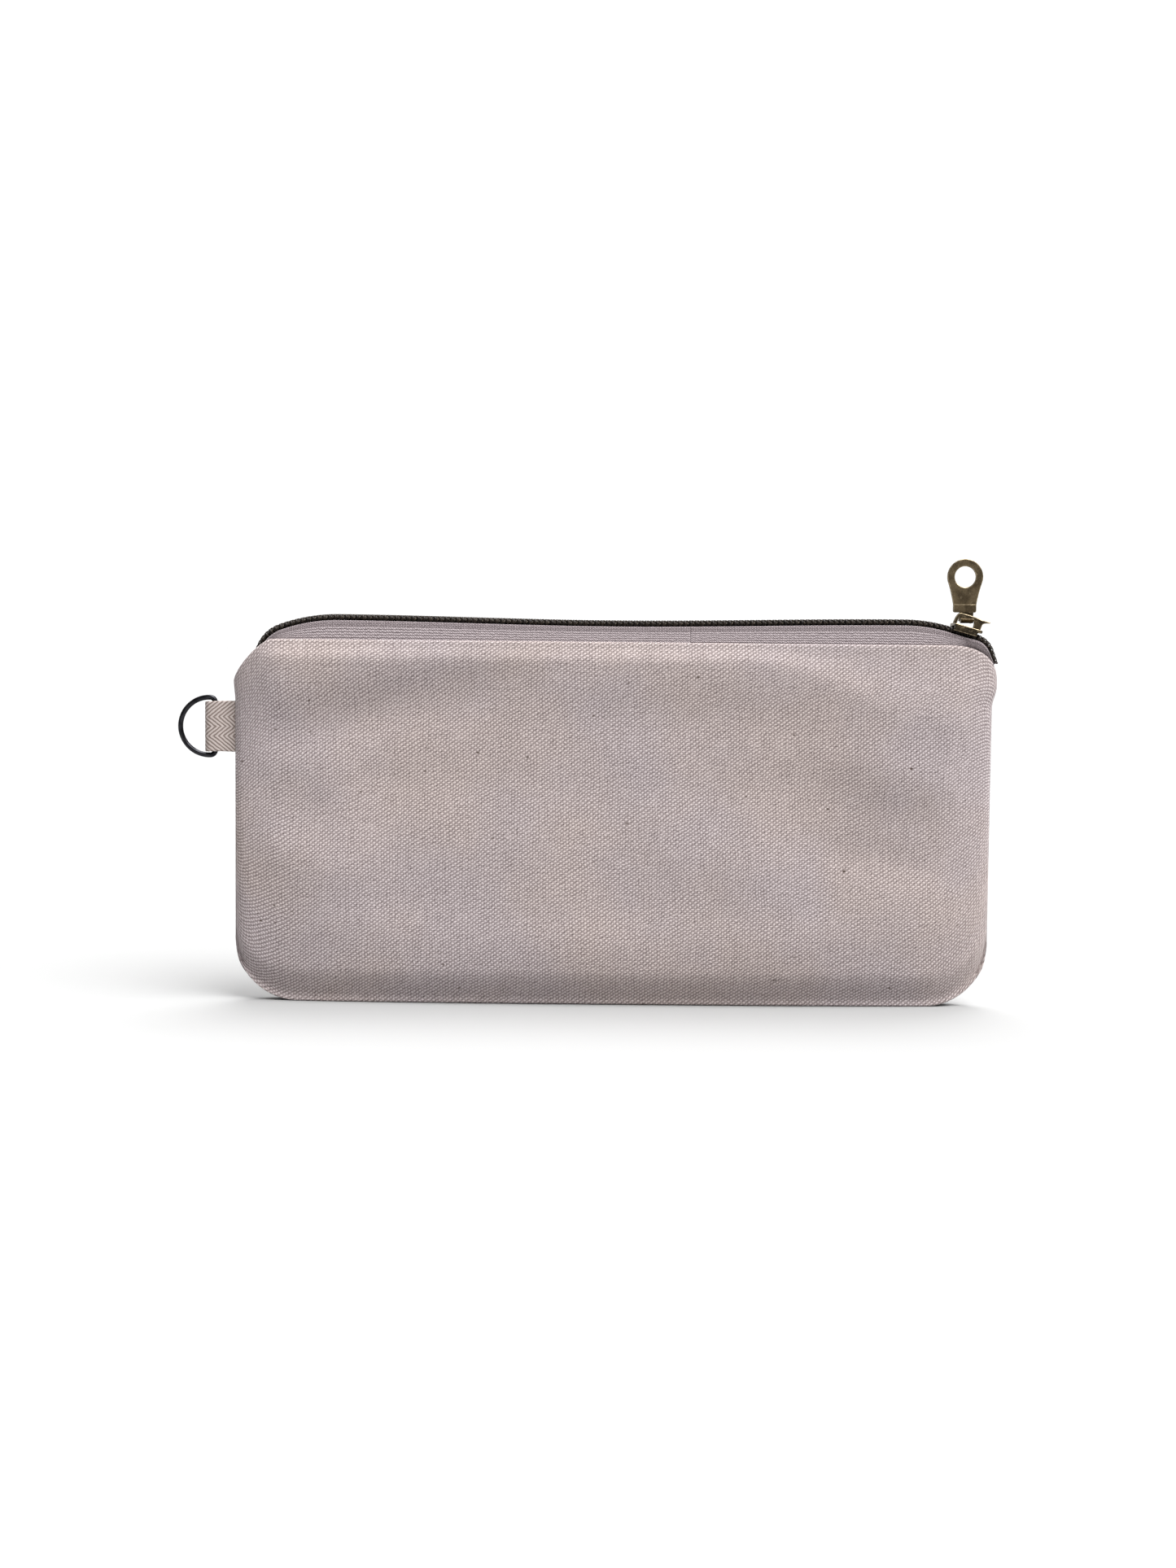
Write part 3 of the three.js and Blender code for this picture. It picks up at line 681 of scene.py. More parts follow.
# ---- materials
class Nodes:
    """A material's node tree, with short calls for the nodes that the fabrics and metals share."""

    def __init__(self, name, roughness, metallic=0.0, **fixed):
        self.mat = bpy.data.materials.new(name)
        self.mat.use_nodes = True
        self.tree = self.mat.node_tree
        self.bsdf = self.tree.nodes["Principled BSDF"]
        self.bsdf.inputs["Roughness"].default_value = roughness
        self.bsdf.inputs["Metallic"].default_value = metallic
        for key, value in fixed.items():
            self.bsdf.inputs[key.replace("_", " ")].default_value = value

    def put(self, socket, value):
        if isinstance(value, bpy.types.NodeSocket):
            self.tree.links.new(value, socket)
        else:
            socket.default_value = value

    def node(self, kind):
        return self.tree.nodes.new("ShaderNode" + kind)

    def math(self, op, a, b=0.0):
        node = self.node("Math")
        node.operation = op
        self.put(node.inputs[0], a)
        self.put(node.inputs[1], b)
        return node.outputs[0]

    def add(self, a, b):
        return self.math("ADD", a, b)

    def sub(self, a, b):
        return self.math("SUBTRACT", a, b)

    def mul(self, a, b):
        return self.math("MULTIPLY", a, b)

    def div(self, a, b):
        return self.math("DIVIDE", a, b)

    def ridges(self, value, width):
        """Half a sine over each width."""
        return self.math("SINE", self.mul(self.math("FRACT", self.div(value, width)), math.pi))

    def uneven(self, vector, scale, size=1.0):
        """Noise about zero."""
        swing = self.sub(self.noise(vector, scale), 0.5)
        return swing if size == 1.0 else self.mul(swing, size)

    def uv(self):
        node = self.node("UVMap")
        node.uv_map = "cloth"
        split = self.node("SeparateXYZ")
        self.put(split.inputs[0], node.outputs[0])
        return split.outputs[0], split.outputs[1]

    def place(self):
        node = self.node("TexCoord")
        return node.outputs["Object"]

    def vector(self, x, y, z=0.0):
        node = self.node("CombineXYZ")
        for socket, value in zip(node.inputs, (x, y, z)):
            self.put(socket, value)
        return node.outputs[0]

    def noise(self, vector, scale, detail=2.0, rough=0.5):
        node = self.node("TexNoise")
        self.put(node.inputs["Vector"], vector)
        self.put(node.inputs["Scale"], scale)
        self.put(node.inputs["Detail"], detail)
        self.put(node.inputs["Roughness"], rough)
        return node.outputs["Fac"]

    def spots(self, vector, scale):
        node = self.node("TexVoronoi")
        self.put(node.inputs["Vector"], vector)
        self.put(node.inputs["Scale"], scale)
        return node.outputs["Distance"], node.outputs["Color"]

    def ramp(self, value, low, high, out_low=0.0, out_high=1.0):
        node = self.node("MapRange")
        node.interpolation_type = "SMOOTHSTEP"
        self.put(node.inputs["Value"], value)
        for key, number in zip(("From Min", "From Max", "To Min", "To Max"), (low, high, out_low, out_high)):
            node.inputs[key].default_value = number
        return node.outputs["Result"]

    def mix(self, factor, a, b, blend="MIX"):
        node = self.node("Mix")
        node.data_type = "RGBA"
        node.blend_type = blend
        self.put(node.inputs[0], factor)
        for socket, value in ((node.inputs[6], a), (node.inputs[7], b)):
            self.put(socket, value if isinstance(value, bpy.types.NodeSocket) else (*value, 1))
        return node.outputs[2]

    def finish(self, colour, height=None, distance=0.1, strength=1.0, roughness=None):
        self.put(self.bsdf.inputs["Base Color"], colour)
        if height is not None:
            node = self.node("Bump")
            node.inputs["Strength"].default_value = strength
            node.inputs["Distance"].default_value = distance * MM
            self.put(node.inputs["Height"], height)
            self.put(self.bsdf.inputs["Normal"], node.outputs[0])
        if roughness is not None:
            self.put(self.bsdf.inputs["Roughness"], roughness)
        return self.mat


def plain_weave(m, u, v, warp, weft):
    """The height of a plain weave: a dome on each crossing, every other one lower."""
    cells = m.add(m.math("FLOOR", m.div(u, warp)), m.math("FLOOR", m.div(v, weft)))
    over = m.math("FLOORED_MODULO", cells, 2.0)
    dome = m.mul(m.ridges(u, warp), m.ridges(v, weft))
    return m.mul(dome, m.add(m.mul(over, 0.5), 0.5))


def canvas_flecks(m, flat, u, v):
    """Short dark fibres, in about one cell in five."""
    bent = m.add(u, m.mul(m.noise(flat, 1.4), 0.9))
    near, chance = m.spots(m.vector(bent, m.mul(v, 1.35)), 0.22)
    split = m.node("SeparateColor")
    m.put(split.inputs[0], chance)
    chosen = m.math("GREATER_THAN", split.outputs[0], 0.79)
    weight = m.mul(chosen, m.ramp(split.outputs[1], 0.0, 1.0, 0.5, 1.0))
    return m.mul(m.ramp(near, 0.06, 0.12, 1.0, 0.0), weight)


def canvas_material():
    """Plain weave: slightly slanted grains in a chequered grid, coloured paler on their crowns as painted
    highlight and darker in the gaps between threads as painted shade.
    """
    m = Nodes("canvas_weave", 0.92, Sheen_Weight=0.12, Sheen_Roughness=0.5, Specular_IOR_Level=0.15)
    u, v = m.uv()
    flat, crossed = m.vector(u, v), m.vector(v, u)
    warp_shift = m.add(m.mul(m.noise(flat, 0.09), 1.6), m.mul(m.noise(flat, 0.9), 0.55))
    weft_shift = m.add(m.mul(m.noise(crossed, 0.08), 1.6), m.mul(m.noise(crossed, 0.9), 0.45))
    a = m.div(m.add(u, warp_shift), WARP / math.pi)
    b = m.div(m.add(v, weft_shift), WEFT / math.pi)
    rising = m.math("COSINE", m.add(a, b))
    falling = m.math("COSINE", m.sub(a, b))
    # Painted highlight: the grains' crowns are made paler in colour as well as raised.
    grains = m.add(m.mul(rising, 0.15), m.mul(falling, 0.32))
    # Painted shade: the gaps between threads are made darker in colour as well as sunk.
    warp_gap = m.mul(m.math("COSINE", m.mul(a, 2.0)), 0.16)
    weft_gap = m.mul(m.math("COSINE", m.mul(b, 2.0)), 0.13)
    gaps = m.add(warp_gap, weft_gap)
    warp_slub = m.uneven(m.vector(u, m.mul(v, 0.1)), 1.3, 0.35)
    weft_slub = m.uneven(m.vector(m.mul(u, 0.1), v), 1.6, 0.35)
    slub = m.add(warp_slub, weft_slub)
    tone = m.add(m.add(grains, gaps), m.add(m.uneven(flat, 1.7, 0.8), slub))
    # tone carries the weave's painted highlight and painted shade, together with the yarn's own random tone
    # and slubs. Its low end is painted shade in the gaps.
    dark = m.mix(m.ramp(tone, -0.7, -0.2), (0.082, 0.063, 0.062), (0.262, 0.220, 0.215))
    colour = m.mix(m.ramp(tone, -0.25, 0.4), dark, (0.530, 0.468, 0.456))
    patch = m.noise(flat, 0.022, 3.0)
    tint = m.mix(m.ramp(patch, 0.35, 0.65), (1.0, 0.975, 0.955), (0.965, 0.965, 1.0))
    colour = m.mix(1.0, colour, tint, "MULTIPLY")
    colour = m.mix(canvas_flecks(m, flat, u, v), colour, (0.085, 0.062, 0.052))
    height = m.add(m.add(grains, m.mul(gaps, 2.0)), m.mul(slub, 0.6))
    return m.finish(colour, height, 0.09, 0.8)


def lining_material():
    m = Nodes("lining_weave", 0.85, Sheen_Weight=0.2, Sheen_Roughness=0.5, Specular_IOR_Level=0.2)
    u, v = m.uv()
    height = plain_weave(m, u, v, 0.32, 0.32)
    patch = m.noise(m.vector(u, v), 0.05, 3.0)
    colour = m.mix(m.ramp(patch, 0.3, 0.7), (0.42, 0.38, 0.345), (0.50, 0.465, 0.43))
    colour = m.mix(m.ramp(height, 0.0, 0.5), (0.27, 0.24, 0.22), colour)
    return m.finish(colour, height, 0.08, 0.7)


def tape_material():
    """Woven tape: a fine stripe by the coil, then rows of slanted ribs. v is 0 at the edge by the coil."""
    m = Nodes("tape_ribs", 0.8, Sheen_Weight=0.2, Sheen_Roughness=0.4, Specular_IOR_Level=0.25)
    u, v = m.uv()
    flat = m.vector(u, v)
    fine = plain_weave(m, u, v, 0.42, 0.36)
    wander = m.uneven(flat, 0.8, 1.5)
    zig = m.math("ABSOLUTE", m.sub(m.math("FRACT", m.div(m.add(u, wander), 2 * TAPE_BEAD)), 0.5))
    rows = m.add(m.add(v, m.mul(wander, 0.4)), m.mul(zig, 0.3))
    skewed = m.add(m.add(u, m.mul(wander, 0.25)), m.mul(v, 0.9))
    beads = m.add(m.mul(m.ridges(skewed, TAPE_BEAD), 0.6), 0.4)
    ribs = m.mul(m.ridges(rows, TAPE_ROW), beads)
    zone = m.ramp(v, -5.3, -4.9, 1.0, 0.0)
    height = m.add(m.mul(fine, m.sub(1.0, zone)), m.mul(ribs, zone))
    tone = m.add(height, m.uneven(flat, 1.8, 0.7))
    colour = m.mix(m.ramp(tone, 0.0, 0.5), (0.10, 0.078, 0.082), (0.29, 0.245, 0.255))
    colour = m.mix(m.ramp(tone, 0.5, 1.0, 0.0, 0.9), colour, (0.52, 0.46, 0.47))
    # Painted shade under the coil: the tape darkens towards its edge by the coil, where v nears 0.
    colour = m.mix(m.ramp(v, -1.4, -0.5, 0.0, 0.75), colour, (0.10, 0.085, 0.085))
    return m.finish(colour, height, 0.16, 0.8)


def webbing_material():
    """Herringbone: four bands, whose ribs slant one way and the other. v runs across the webbing."""
    m = Nodes("webbing_herringbone", 0.88, Sheen_Weight=0.15, Sheen_Roughness=0.5, Specular_IOR_Level=0.2)
    u, v = m.uv()
    loose = m.uneven(m.vector(u, v), 0.9, 0.5)
    rib = m.ridges(m.add(m.add(u, band_slant(m, v)), loose), RIB)
    fine = m.noise(m.vector(m.mul(u, 2.0), v), 2.2)
    colour = m.mix(m.ramp(fine, 0.3, 0.7), (0.29, 0.235, 0.215), (0.39, 0.33, 0.305))
    colour = m.mix(m.ramp(rib, 0.05, 0.75), (0.155, 0.12, 0.105), colour)
    colour = m.mix(m.ramp(rib, 0.7, 1.0, 0.0, 0.6), colour, (0.56, 0.50, 0.475))
    return m.finish(colour, m.add(rib, m.mul(fine, 0.35)), 0.16, 0.8)


def band_turns():
    """Where the ribs turn from one slant to the other, and by how much."""
    return [(float(edge), 2 * RIB_SLOPE * (1 if k % 2 else -1)) for k, edge in enumerate(BAND_EDGES[1:-1])]


def band_slant(m, v):
    """How far along the ribs shift at each place across the webbing: up one band, down the next."""
    total = m.mul(v, RIB_SLOPE)
    for edge, change in band_turns():
        total = m.add(total, m.mul(m.math("MAXIMUM", m.sub(v, edge), 0.0), change))
    return total


def coil_material():
    m = Nodes("coil_nylon", 0.4, Specular_IOR_Level=0.16)
    mottle = m.noise(m.place(), 900.0, 2.0)
    colour = m.mix(m.ramp(mottle, 0.35, 0.65), (0.006, 0.004, 0.003), (0.020, 0.014, 0.010))
    return m.finish(colour, mottle, 0.02, 0.3, m.ramp(mottle, 0.3, 0.7, 0.34, 0.5))


def thread_material(name, dark, light, start=-1.0):
    m = Nodes(name, 0.7, Sheen_Weight=0.2, Specular_IOR_Level=0.3)
    u, v = m.uv()
    twist = m.math("SINE", m.mul(m.add(m.mul(u, 1.6), m.mul(v, 2.0)), 6.28))
    return m.finish(m.mix(m.ramp(twist, start, 1.0), dark, light), twist, 0.04, 0.8)


def brass_material(name, dark, mid, bright, edge):
    m = Nodes(name, 0.4, 0.9)
    place = m.place()
    cloud = m.noise(place, 330.0, 3.0, 0.55)
    grain = m.noise(place, 3800.0, 3.0, 0.6)
    scuff = m.noise(place, 1500.0, 2.0, 0.5)
    colour = m.mix(m.ramp(cloud, 0.38, 0.64), dark, mid)
    colour = m.mix(m.ramp(grain, 0.5, 0.75, 0.0, 0.35), colour, bright)
    colour = m.mix(m.ramp(scuff, 0.62, 0.72, 0.0, 0.4), colour, bright)
    # Worn edges with a painted highlight: the narrow faces of the rounded edges take the pale edge colour,
    # partly rubbed brass and partly painted highlight.
    edge_wear_and_highlight = m.node("Attribute")
    edge_wear_and_highlight.attribute_name = "edge_wear_and_highlight"
    rubbed_and_highlit = m.mul(edge_wear_and_highlight.outputs["Fac"], m.ramp(scuff, 0.35, 0.6, 0.25, 0.9))
    colour = m.mix(rubbed_and_highlit, colour, edge)
    rough = m.ramp(grain, 0.3, 0.7, 0.32, 0.5)
    return m.finish(colour, m.add(cloud, m.mul(grain, 0.5)), 0.04, 0.35, rough)


def ring_material():
    m = Nodes("ring_black_nickel", 0.16, 0.85)
    smear = m.noise(m.place(), 500.0, 3.0)
    colour = m.mix(m.ramp(smear, 0.4, 0.7), (0.010, 0.010, 0.012), (0.03, 0.03, 0.034))
    return m.finish(colour, smear, 0.01, 0.3, m.ramp(smear, 0.3, 0.7, 0.12, 0.24))


def floor_material():
    m = Nodes("floor_white", 0.9, Specular_IOR_Level=0.0)
    return m.finish((0.36, 0.36, 0.36, 1.0))


def backdrop_material():
    m = Nodes("backdrop_white", 1.0, Specular_IOR_Level=0.0, Emission_Strength=1.1)
    m.bsdf.inputs["Emission Color"].default_value = (1, 1, 1, 1)
    return m.finish((0.0, 0.0, 0.0, 1.0))


CANVAS_LOOK = canvas_material()
LINING_LOOK = lining_material()
TAPE_LOOK = tape_material()
WEBBING_LOOK = webbing_material()
COIL_LOOK = coil_material()
CORD_LOOK = thread_material("cord_twist", (0.010, 0.007, 0.005), (0.130, 0.100, 0.068), 0.1)
SEAM_LOOK = thread_material("seam_thread_twist", (0.2, 0.16, 0.145), (0.37, 0.32, 0.30))
TACK_LOOK = thread_material("tack_thread_twist", (0.03, 0.02, 0.02), (0.1, 0.07, 0.07))
# Each brass's edge colour is for its worn edges with a painted highlight on them.
SLIDER_LOOK = brass_material(
    "slider_antique_brass",
    dark=(0.028, 0.021, 0.013),
    mid=(0.10, 0.073, 0.042),
    bright=(0.30, 0.235, 0.15),
    edge=(0.42, 0.34, 0.22),
)
TAB_LOOK = brass_material(
    "tab_antique_brass",
    dark=(0.072, 0.052, 0.029),
    mid=(0.135, 0.101, 0.058),
    bright=(0.27, 0.215, 0.14),
    edge=(0.40, 0.33, 0.22),
)
RING_LOOK = ring_material()


def dress(obj, look, node=None):
    """Gives a piece its material and hides the CAD node it stands for."""
    obj.data.materials.clear()
    obj.data.materials.append(look)
    if node:
        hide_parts(node)
    return obj


# ---- canvas and lining
CANVAS_CUT = (0.2072, 0.111)  # metres: the length is the face, half the sole, the fold and the hem
LINING_CUT = (0.2008, 0.101)
for (side, word), seed in zip(SIDES, (5, 11)):
    field = cloth_field(side)
    outer = dress(canvas(side, seed, field), CANVAS_LOOK, word + "_panel")
    inner = dress(lining(side, seed, field), LINING_LOOK, word + "_lining")
    for cloth, flat in ((outer, CANVAS_CUT), (inner, LINING_CUT)):
        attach(cloth, "pouch")

# ---- zipper
travel = joint("slider_travel")
parked = route(np.array([SLIDER_ALONG]))[0][0]
limit_x = parked[0] + travel["axis"][0] * travel["range_m"][1] / MM
MEET = 20.0  # where the left and right halves of the chain meet
HALVES = {
    "left": (LEFT_END, MEET, (limit_x, limit_x + 60)),
    "right": (MEET, RIGHT_END, (TABLE_X[-1], TABLE_X[-1] - 50)),
}


def chain_half(side, word, half, start, end):
    """One side's tape, coil and cord over half the chain."""
    shown = make(f"{word}_tape_{half}", *tape(side, start, end))
    wound = make(f"{word}_coil_wound_{half}", *coil(side, start, end))
    cord = make(f"{word}_cord_{half}", *cord_and_stitches(side, start + 0.2, end - 0.2))
    return [
        dress(shown, TAPE_LOOK, word + "_zipper_tape"),
        dress(wound, COIL_LOOK, word + "_coil"),
        dress(cord, CORD_LOOK, word + "_core_cord"),
    ]


for side, word in SIDES:
    sewn = make(word + "_tape_sewn_edge", *tape(side, LEFT_END + 0.3, RIGHT_END - 0.3, hidden=True))
    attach(dress(sewn, TAPE_LOOK), "pouch")
    for half, (start, end, (still, free)) in HALVES.items():
        for obj in chain_half(side, word, half, start, end):
            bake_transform(obj)


# ---- slider and pull tab
def plate_outline(tail, nose, back=-3.3, front=4.6):
    """A slider plate seen from above: square at its tail, wide and notched at its nose."""
    pts = [(back + 0.6, -tail), (0, -tail - 0.1)]
    curve_to(pts, (1.8, -nose), (3, -nose))
    curve_to(pts, (front, -nose), (front, -nose + 1.6))
    curve_to(pts, (front - 0.9, 0), (front, nose - 1.6))
    curve_to(pts, (front, nose), (3, nose))
    curve_to(pts, (1.8, nose), (0, tail + 0.1))
    pts.append((back + 0.6, tail))
    curve_to(pts, (back, tail), (back, tail - 0.8), 4)
    pts.append((back, -tail + 0.8))
    curve_to(pts, (back, -tail), (back + 0.6, -tail), 4)
    return pts[:-1]


CHANNEL_TOP, CHANNEL_LOW, PLATE = 1.35, -2.15, 0.8
SLIDER_TOP = CHANNEL_TOP + PLATE
FLANGE_LOW, FLANGE_TOP = 0.2, SLIDER_TOP - 0.05
FLANGE = [(-3.1, 3.6), (-0.6, 3.6), (2, 4.2), (3.2, 4.2), (3.2, 4.98), (2, 4.98), (-0.6, 4.4), (-3.1, 4.4)]
POST = [(2.5, -0.2), (3.0, -0.3), (3.6, -0.2), (3.6, 0.2), (3.0, 0.3), (2.5, 0.2)]


def lifted(name, outline, low, high, bevel):
    """A flat plate between two heights."""
    made = plate(name, [outline], high - low, bevel)
    made.location.z = (low + high) / 2 * MM
    return made


def bail_outline():
    foot, crown, under = SLIDER_TOP - 0.3, 5.35, 4.45
    pts = [(-3.3, foot)]
    curve_to(pts, (-3.2, crown), (-1.8, crown), 10)
    pts.append((0.6, crown + 0.02))
    curve_to(pts, (2.6, crown), (3.6, crown - 0.25), 6)
    curve_to(pts, (5.0, crown - 0.35), (6.35, crown - 0.2), 6)
    pts += [(6.45, crown - 0.4), (6.3, crown - 0.62)]
    curve_to(pts, (4.8, under), (4.5, under - 0.6), 6)
    pts += [(4.35, foot), (2.3, foot)]
    curve_to(pts, (2.3, under), (1.7, under), 8)
    pts.append((-1.7, under))
    curve_to(pts, (-2.3, under), (-2.3, foot), 8)
    return pts


def slider():
    """The slider's two plates, its flanges, its post and its bail."""
    parts = [
        lifted("top", plate_outline(4.35, 5), CHANNEL_TOP, SLIDER_TOP, 0.22),
        lifted("low", plate_outline(2.5, 2.8), CHANNEL_LOW - PLATE, CHANNEL_LOW, 0.22),
    ]
    for side in (FRONT, BACK):
        outline = [(x, side * y) for x, y in FLANGE]
        parts.append(lifted("flange", outline, FLANGE_LOW, FLANGE_TOP, 0.14))
    parts.append(lifted("post", POST, CHANNEL_LOW - 0.1, SLIDER_TOP + 0.1, 0.1))
    parts.append(upright(plate("bail", [bail_outline()], 1.2, 0.2)))
    made = joined("slider_cast", parts)
    made.data.transform(Matrix.Translation(SLIDER_AT * MM) @ TILT)
    return made


PULL_AT = Vector(joint("pull_swing")["pos_m"]) / MM
TILT = Matrix.Rotation(SLIDER_TILT, 4, "Y")
SLIDER_AT = PULL_AT - TILT @ Vector((BAR_LOCAL[0], 0, BAR_LOCAL[1]))
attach(dress(slider(), SLIDER_LOOK, "slider_body"), "slider")


TAB_LONG, TAB_HEAD, TAB_HOLE, TAB_NECK, TAB_STEP, TAB_THICK = 15.4, 4.85, 2.85, 3.1, 3.1, 1.1
TAB_BACK = 1.65  # how far behind the bail's bar the tab stands
HEAD_ANGLE = 22  # how far below level the round head reaches


def blade_outline():
    """The tab's plate: a round head that narrows to the neck."""
    cy = TAB_LONG - TAB_HEAD
    pts = arc(0, cy, TAB_HEAD, -HEAD_ANGLE, 180 + HEAD_ANGLE, 72)
    curve_to(pts, (-TAB_NECK - 0.45, TAB_STEP + 2.6), (-TAB_NECK, TAB_STEP - 0.3), 14)
    pts.append((TAB_NECK, TAB_STEP - 0.3))
    curve_to(pts, (TAB_NECK + 0.45, TAB_STEP + 2.6), pts[0], 14)
    return pts[:-1]


def collar_outline():
    low, corner = 0.9, 1.4
    pts = [(-TAB_NECK, TAB_STEP), (-TAB_NECK, corner)]
    curve_to(pts, (-TAB_NECK, low), (-TAB_NECK + 0.6, low), 5)
    pts.append((TAB_NECK - 0.6, low))
    curve_to(pts, (TAB_NECK, low), (TAB_NECK, corner), 5)
    pts.append((TAB_NECK, TAB_STEP))
    return pts


def hook_outline():
    """The tail's section: down from the collar and round under the bail's bar."""
    half, turn, top = 0.35, -150, 1.4
    pts = [(TAB_BACK + half, top)]
    pts += arc(0, 0, TAB_BACK + half, 0, turn, 26)
    pts += arc(0, 0, TAB_BACK - half, turn, 0, 26)
    pts.append((TAB_BACK - half, top))
    return pts


def pull():
    eyelet = arc(0, TAB_LONG - TAB_HEAD, TAB_HOLE, 0, -360, 73)[:-1]
    blade = upright(plate("blade", [blade_outline(), eyelet], TAB_THICK, 0.2), TAB_BACK)
    collar = upright(plate("collar", [collar_outline()], TAB_THICK + 0.45, 0.14), TAB_BACK)
    tail = [(-1.3, 1.2), (-1.3, 0), (-1.7, -1.4), (1.8, -2.1), (2.4, 0.2), (2.4, 1.2)]
    tongue = upright(plate("tongue", [tail], 0.5, 0.1), 1.55)
    hook = plate("hook", [hook_outline()], 3.5, 0.15)
    hook.matrix_world = Matrix(((0, 0, 1, 0.35 * MM), (1, 0, 0, 0), (0, 1, 0, 0), (0, 0, 0, 1)))
    made = joined("pull_tab_cast", [blade, collar, tongue, hook])
    made.data.transform(Matrix.Translation(PULL_AT * MM))
    return made


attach(dress(pull(), TAB_LOOK, "pull_tab"), "pull")

# ---- side loop and D-ring
SEAM_X = joint("loop_swing")["pos_m"][0] / MM
TIP_X = loop_low.x / MM
BAR_X = joint("ring_swing")["pos_m"][0] / MM


def webbing():
    """One strip of webbing from the seam, round the ring's bar and back to the seam."""
    cloth, room = 0.6, 1.1
    bend = TIP_X + cloth + room
    mid = room + cloth / 2
    top = [(SEAM_X + 1.2, 0.36), (SEAM_X - 0.4, 0.36)]
    curve_to(top, (SEAM_X - 2.6, 0.7), (SEAM_X - 4.2, 1.2), 14)
    curve_to(top, (SEAM_X - 5.2, mid), (bend, mid), 10)
    around = arc(bend, 0, mid, 90, 270, 26)[1:-1]
    path = np.array(top + around + [(x, -y) for x, y in top[::-1]])
    step = steps_along(path)
    s = np.arange(0, step[-1], 0.14)
    px, py = np.interp(s, step, path[:, 0]), np.interp(s, step, path[:, 1])
    for _ in range(6):
        px[1:-1] = 0.5 * px[1:-1] + 0.25 * (px[:-2] + px[2:])
        py[1:-1] = 0.5 * py[1:-1] + 0.25 * (py[:-2] + py[2:])
    tx, ty = np.gradient(px), np.gradient(py)
    size = np.hypot(tx, ty)
    nx, ny = ty / size, -tx / size
    across = np.linspace(-LOOP_HALF, LOOP_HALF, 96)
    uu, vv = np.meshgrid(s, across, indexing="ij")
    place = vv + LOOP_HALF
    shift = RIB_SLOPE * place
    for edge, change in band_turns():
        shift = shift + change * np.maximum(place - edge, 0)
    rib = np.abs(np.sin(np.pi * (uu + shift) / RIB))
    selvedge = np.minimum(LOOP_HALF - np.abs(vv), 0.4) / 0.4
    half = cloth / 2 * (0.55 + 0.45 * np.sqrt(selvedge)) - 0.06 + 0.06 * rib
    z = LOOP_Z + vv * (1 - 0.012 * np.cos((uu - s[-1] / 2) / s[-1] * np.pi)) + 0.08 * np.sin(uu / 1.9)
    outer = np.stack([px[:, None] + nx[:, None] * half, py[:, None] + ny[:, None] * half, z], -1)
    inner = np.stack([px[:, None] - nx[:, None] * half, py[:, None] - ny[:, None] * half, z], -1)
    return make("side_loop_webbing", *shell(outer, inner, uu, place))


loop_obj = dress(webbing(), WEBBING_LOOK, "side_loop")
still, free = ((x * MM, 0, LOOP_Z * MM) for x in (SEAM_X + 0.1, SEAM_X - 1.4))
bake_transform(loop_obj)


def d_ring():
    wire, half, bow, corner = 0.7, 7.85, BAR_X - 1.6, 1.4
    pts = arc(bow, 0, half, 90, 270, 60)
    pts += arc(BAR_X - corner, -half + corner, corner, 272, 358, 12)
    pts += [(BAR_X, z) for z in np.linspace(-6.1, 6.1, 16)]
    pts += arc(BAR_X - corner, half - corner, corner, 2, 88, 12)
    path = [(x, 0.0, LOOP_Z + z) for x, z in pts]
    return make("d_ring_wire", *tube(path, wire, 20, closed=True))


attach(dress(d_ring(), RING_LOOK, "d_ring"), "ring")


# ---- threads
def stitched(points, radius, pitch, swing):
    """A sewn thread that goes from one face of the cloth to the other, stitch by stitch."""
    p = np.asarray(points, float)
    step = steps_along(p)
    s = np.arange(0, step[-1], pitch / 6)
    q = np.stack([np.interp(s, step, p[:, k]) for k in range(3)], -1)
    q[:, 1] += swing * np.sin(2 * np.pi * s / pitch)
    return tube(q, radius, 6)


for side, word in SIDES:
    x = np.arange(-84, 84.1, 2.0)
    y = side * (half_depth(x, 1.0) - 1.25)
    line = np.stack([x, y, fold_z(x) - 3], -1)
    thread = make(word + "_mouth_stitches", *stitched(line, 0.14, 2.8, 0.12))
    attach(dress(thread, SEAM_LOOK, word + "_mouth_thread"), "pouch")


def seam_line(half, lift, top):
    """Down one side, along the base and up the other, just inside the edge."""
    edge = half - 1
    z_side = np.arange(top, base_z(half) + lift + 6, -3.0)
    a = np.pi / 2 * np.linspace(-1, 1, 81)
    x_base = edge * np.sin(a)
    z_base = base_z(x_base * half / edge) + lift + 1
    x = np.concatenate([np.full(len(z_side), -edge), x_base, np.full(len(z_side), edge)])
    z = np.concatenate([z_side, z_base, z_side[::-1]])
    return np.stack([x * reach(x, z), 0 * x, z], -1)


outer_seam = make("outer_seam_stitches", *stitched(seam_line(HALF, 0, 84), 0.14, 2.5, 0.1))
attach(dress(outer_seam, SEAM_LOOK, "outer_seam_thread"), "pouch")
inner_seam = make("lining_seam_stitches", *stitched(seam_line(HALF - LINING_IN, 2.5, 82), 0.12, 2.5, 0.05))
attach(dress(inner_seam, SEAM_LOOK, "lining_seam_thread"), "pouch")


def end_tack(s):
    """A short satin bar of thread over the two coil ends."""
    p, t, n = (a[0] for a in route(np.array([s])))
    t = t * (1 if s > 0 else -1)
    pts = []
    for k in range(9):
        y = -1.6 + 3.2 * k / 8
        low = p - t * 0.1 + np.array([0, y, 0])
        pts += [low - n * 0.6, low + n * 0.55] if k % 2 == 0 else [low + n * 0.55, low - n * 0.6]
    return tube(np.array(pts), 0.15, 6)


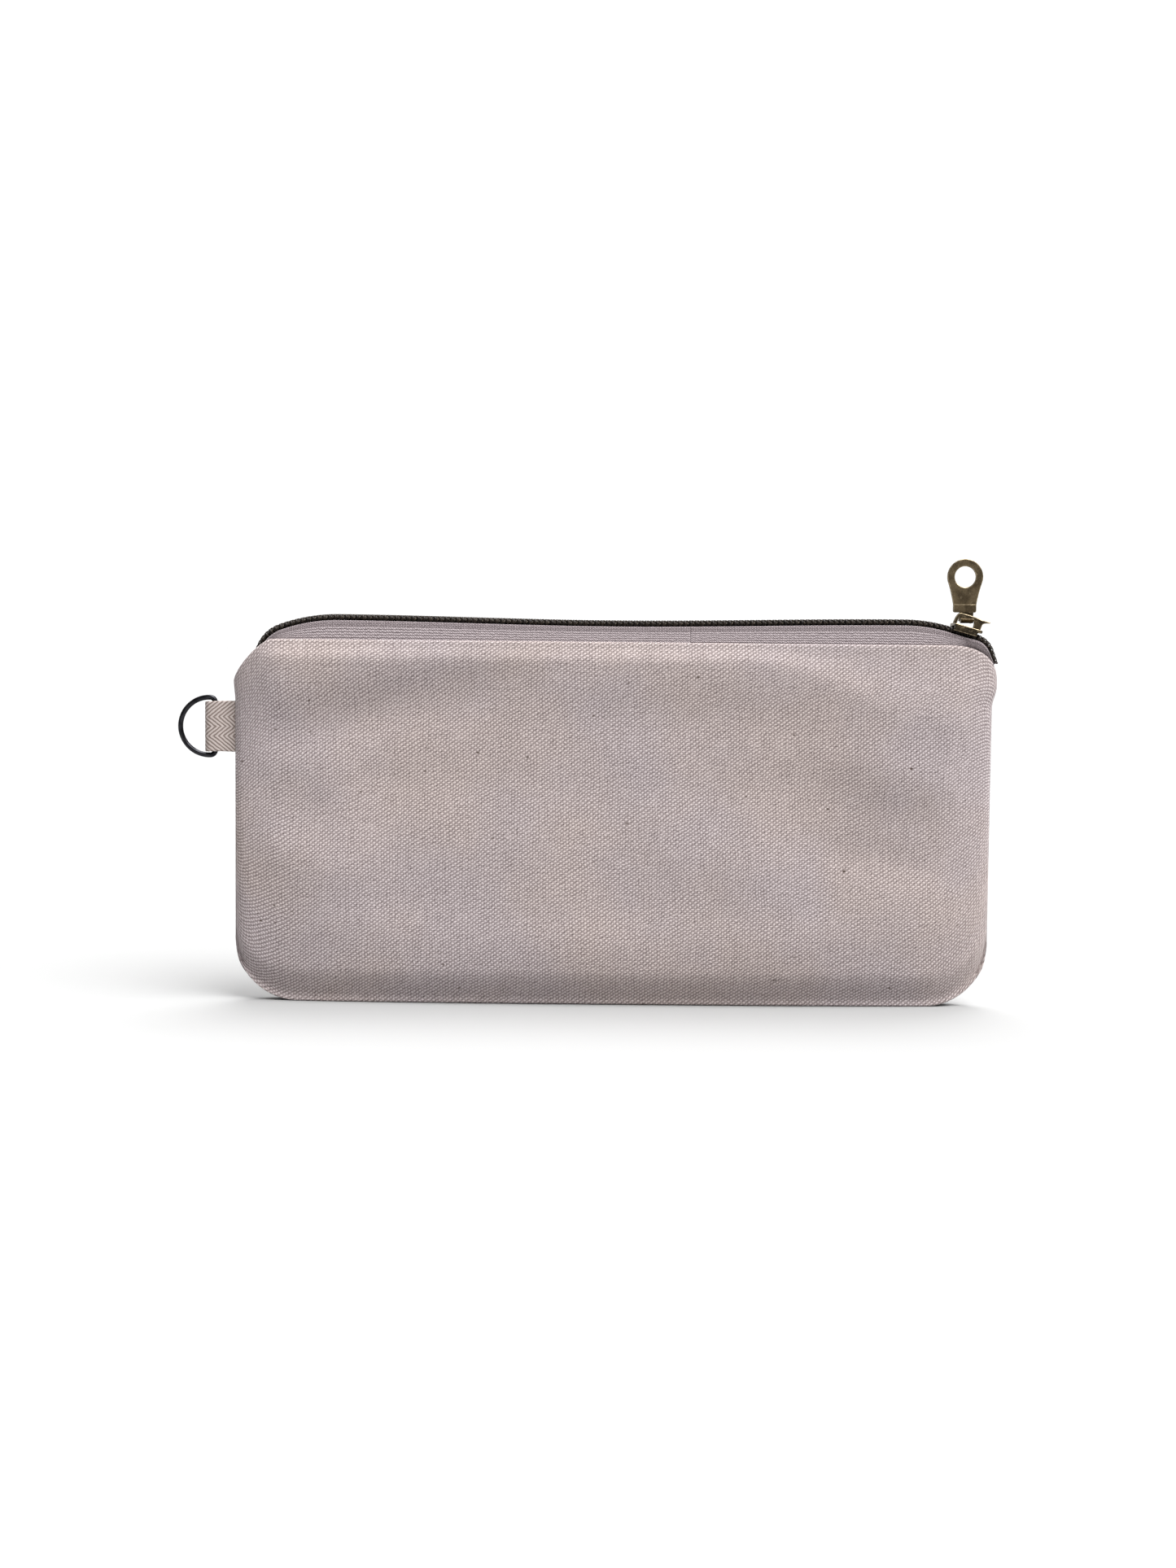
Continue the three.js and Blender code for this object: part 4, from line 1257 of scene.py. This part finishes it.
for word, s in (("left", LEFT_END), ("right", RIGHT_END)):
    bar = make(word + "_end_bar_tack", *end_tack(s))
    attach(dress(bar, TACK_LOOK, word + "_end_tack"), "pouch")


# ---- floor, light and camera
def stage_sheet(name, x, y, z, cells, look):
    """A flat sheet of the studio, in metres."""
    grid = np.stack(np.meshgrid(x, y, z), -1).reshape(-1, 3) / MM
    sheet = make(name, grid, grid_quads(cells, cells))
    sheet.data.materials.append(look)
    return sheet


floor = stage_sheet("floor", np.linspace(-6, 6, 7), np.linspace(-4, 8, 7), [0.0], 7, floor_material())
wall = stage_sheet("backdrop", np.linspace(-9, 9, 3), [8.0], np.linspace(-0.5, 9, 3), 3, backdrop_material())
wall.visible_shadow = False

world = bpy.data.worlds.new("studio")
bpy.context.scene.world = world
world.use_nodes = True
sky = world.node_tree.nodes["Background"].inputs
sky[0].default_value = (1, 1, 1, 1)
sky[1].default_value = 0.38


def sun(name, towards, angle, strength):
    light = bpy.data.lights.new(name, "SUN")
    light.angle = math.radians(angle)
    light.energy = strength
    link(name, light).rotation_euler = Vector(towards).to_track_quat("Z", "Y").to_euler()


sun("overhead", (0.1, 0.36, 1.0), 34, 3.1)
sun("key", (0.52, -0.43, 1.0), 50, 5.7)

CAM_FAR, CAM_RISE, CAM_ROLL = 0.623, math.radians(4.0), math.radians(0.55)
AIM = Vector((-0.00715, 0.0, 0.0598))
SENSOR, FRAME_HIGH = 36, 0.4251  # millimetres, and what the frame takes in at 0.62 m, in metres
cam_data = bpy.data.cameras.new("camera")
cam = link("camera", cam_data)
bpy.context.scene.camera = cam
away = Vector((0.0, -math.cos(CAM_RISE), math.sin(CAM_RISE)))
cam.location = AIM + away * CAM_FAR
look = (-away).to_track_quat("-Z", "Y").to_matrix().to_4x4()
cam.rotation_euler = (look @ Matrix.Rotation(CAM_ROLL, 4, "Z")).to_euler()
cam_data.sensor_fit = "VERTICAL"
cam_data.sensor_height = SENSOR
cam_data.lens = SENSOR * 0.62 / FRAME_HIGH
cam_data.clip_start = 0.01

bpy.context.scene.view_settings.view_transform = "Standard"
bpy.context.scene.view_settings.look = "None"

bpy.context.view_layer.update()
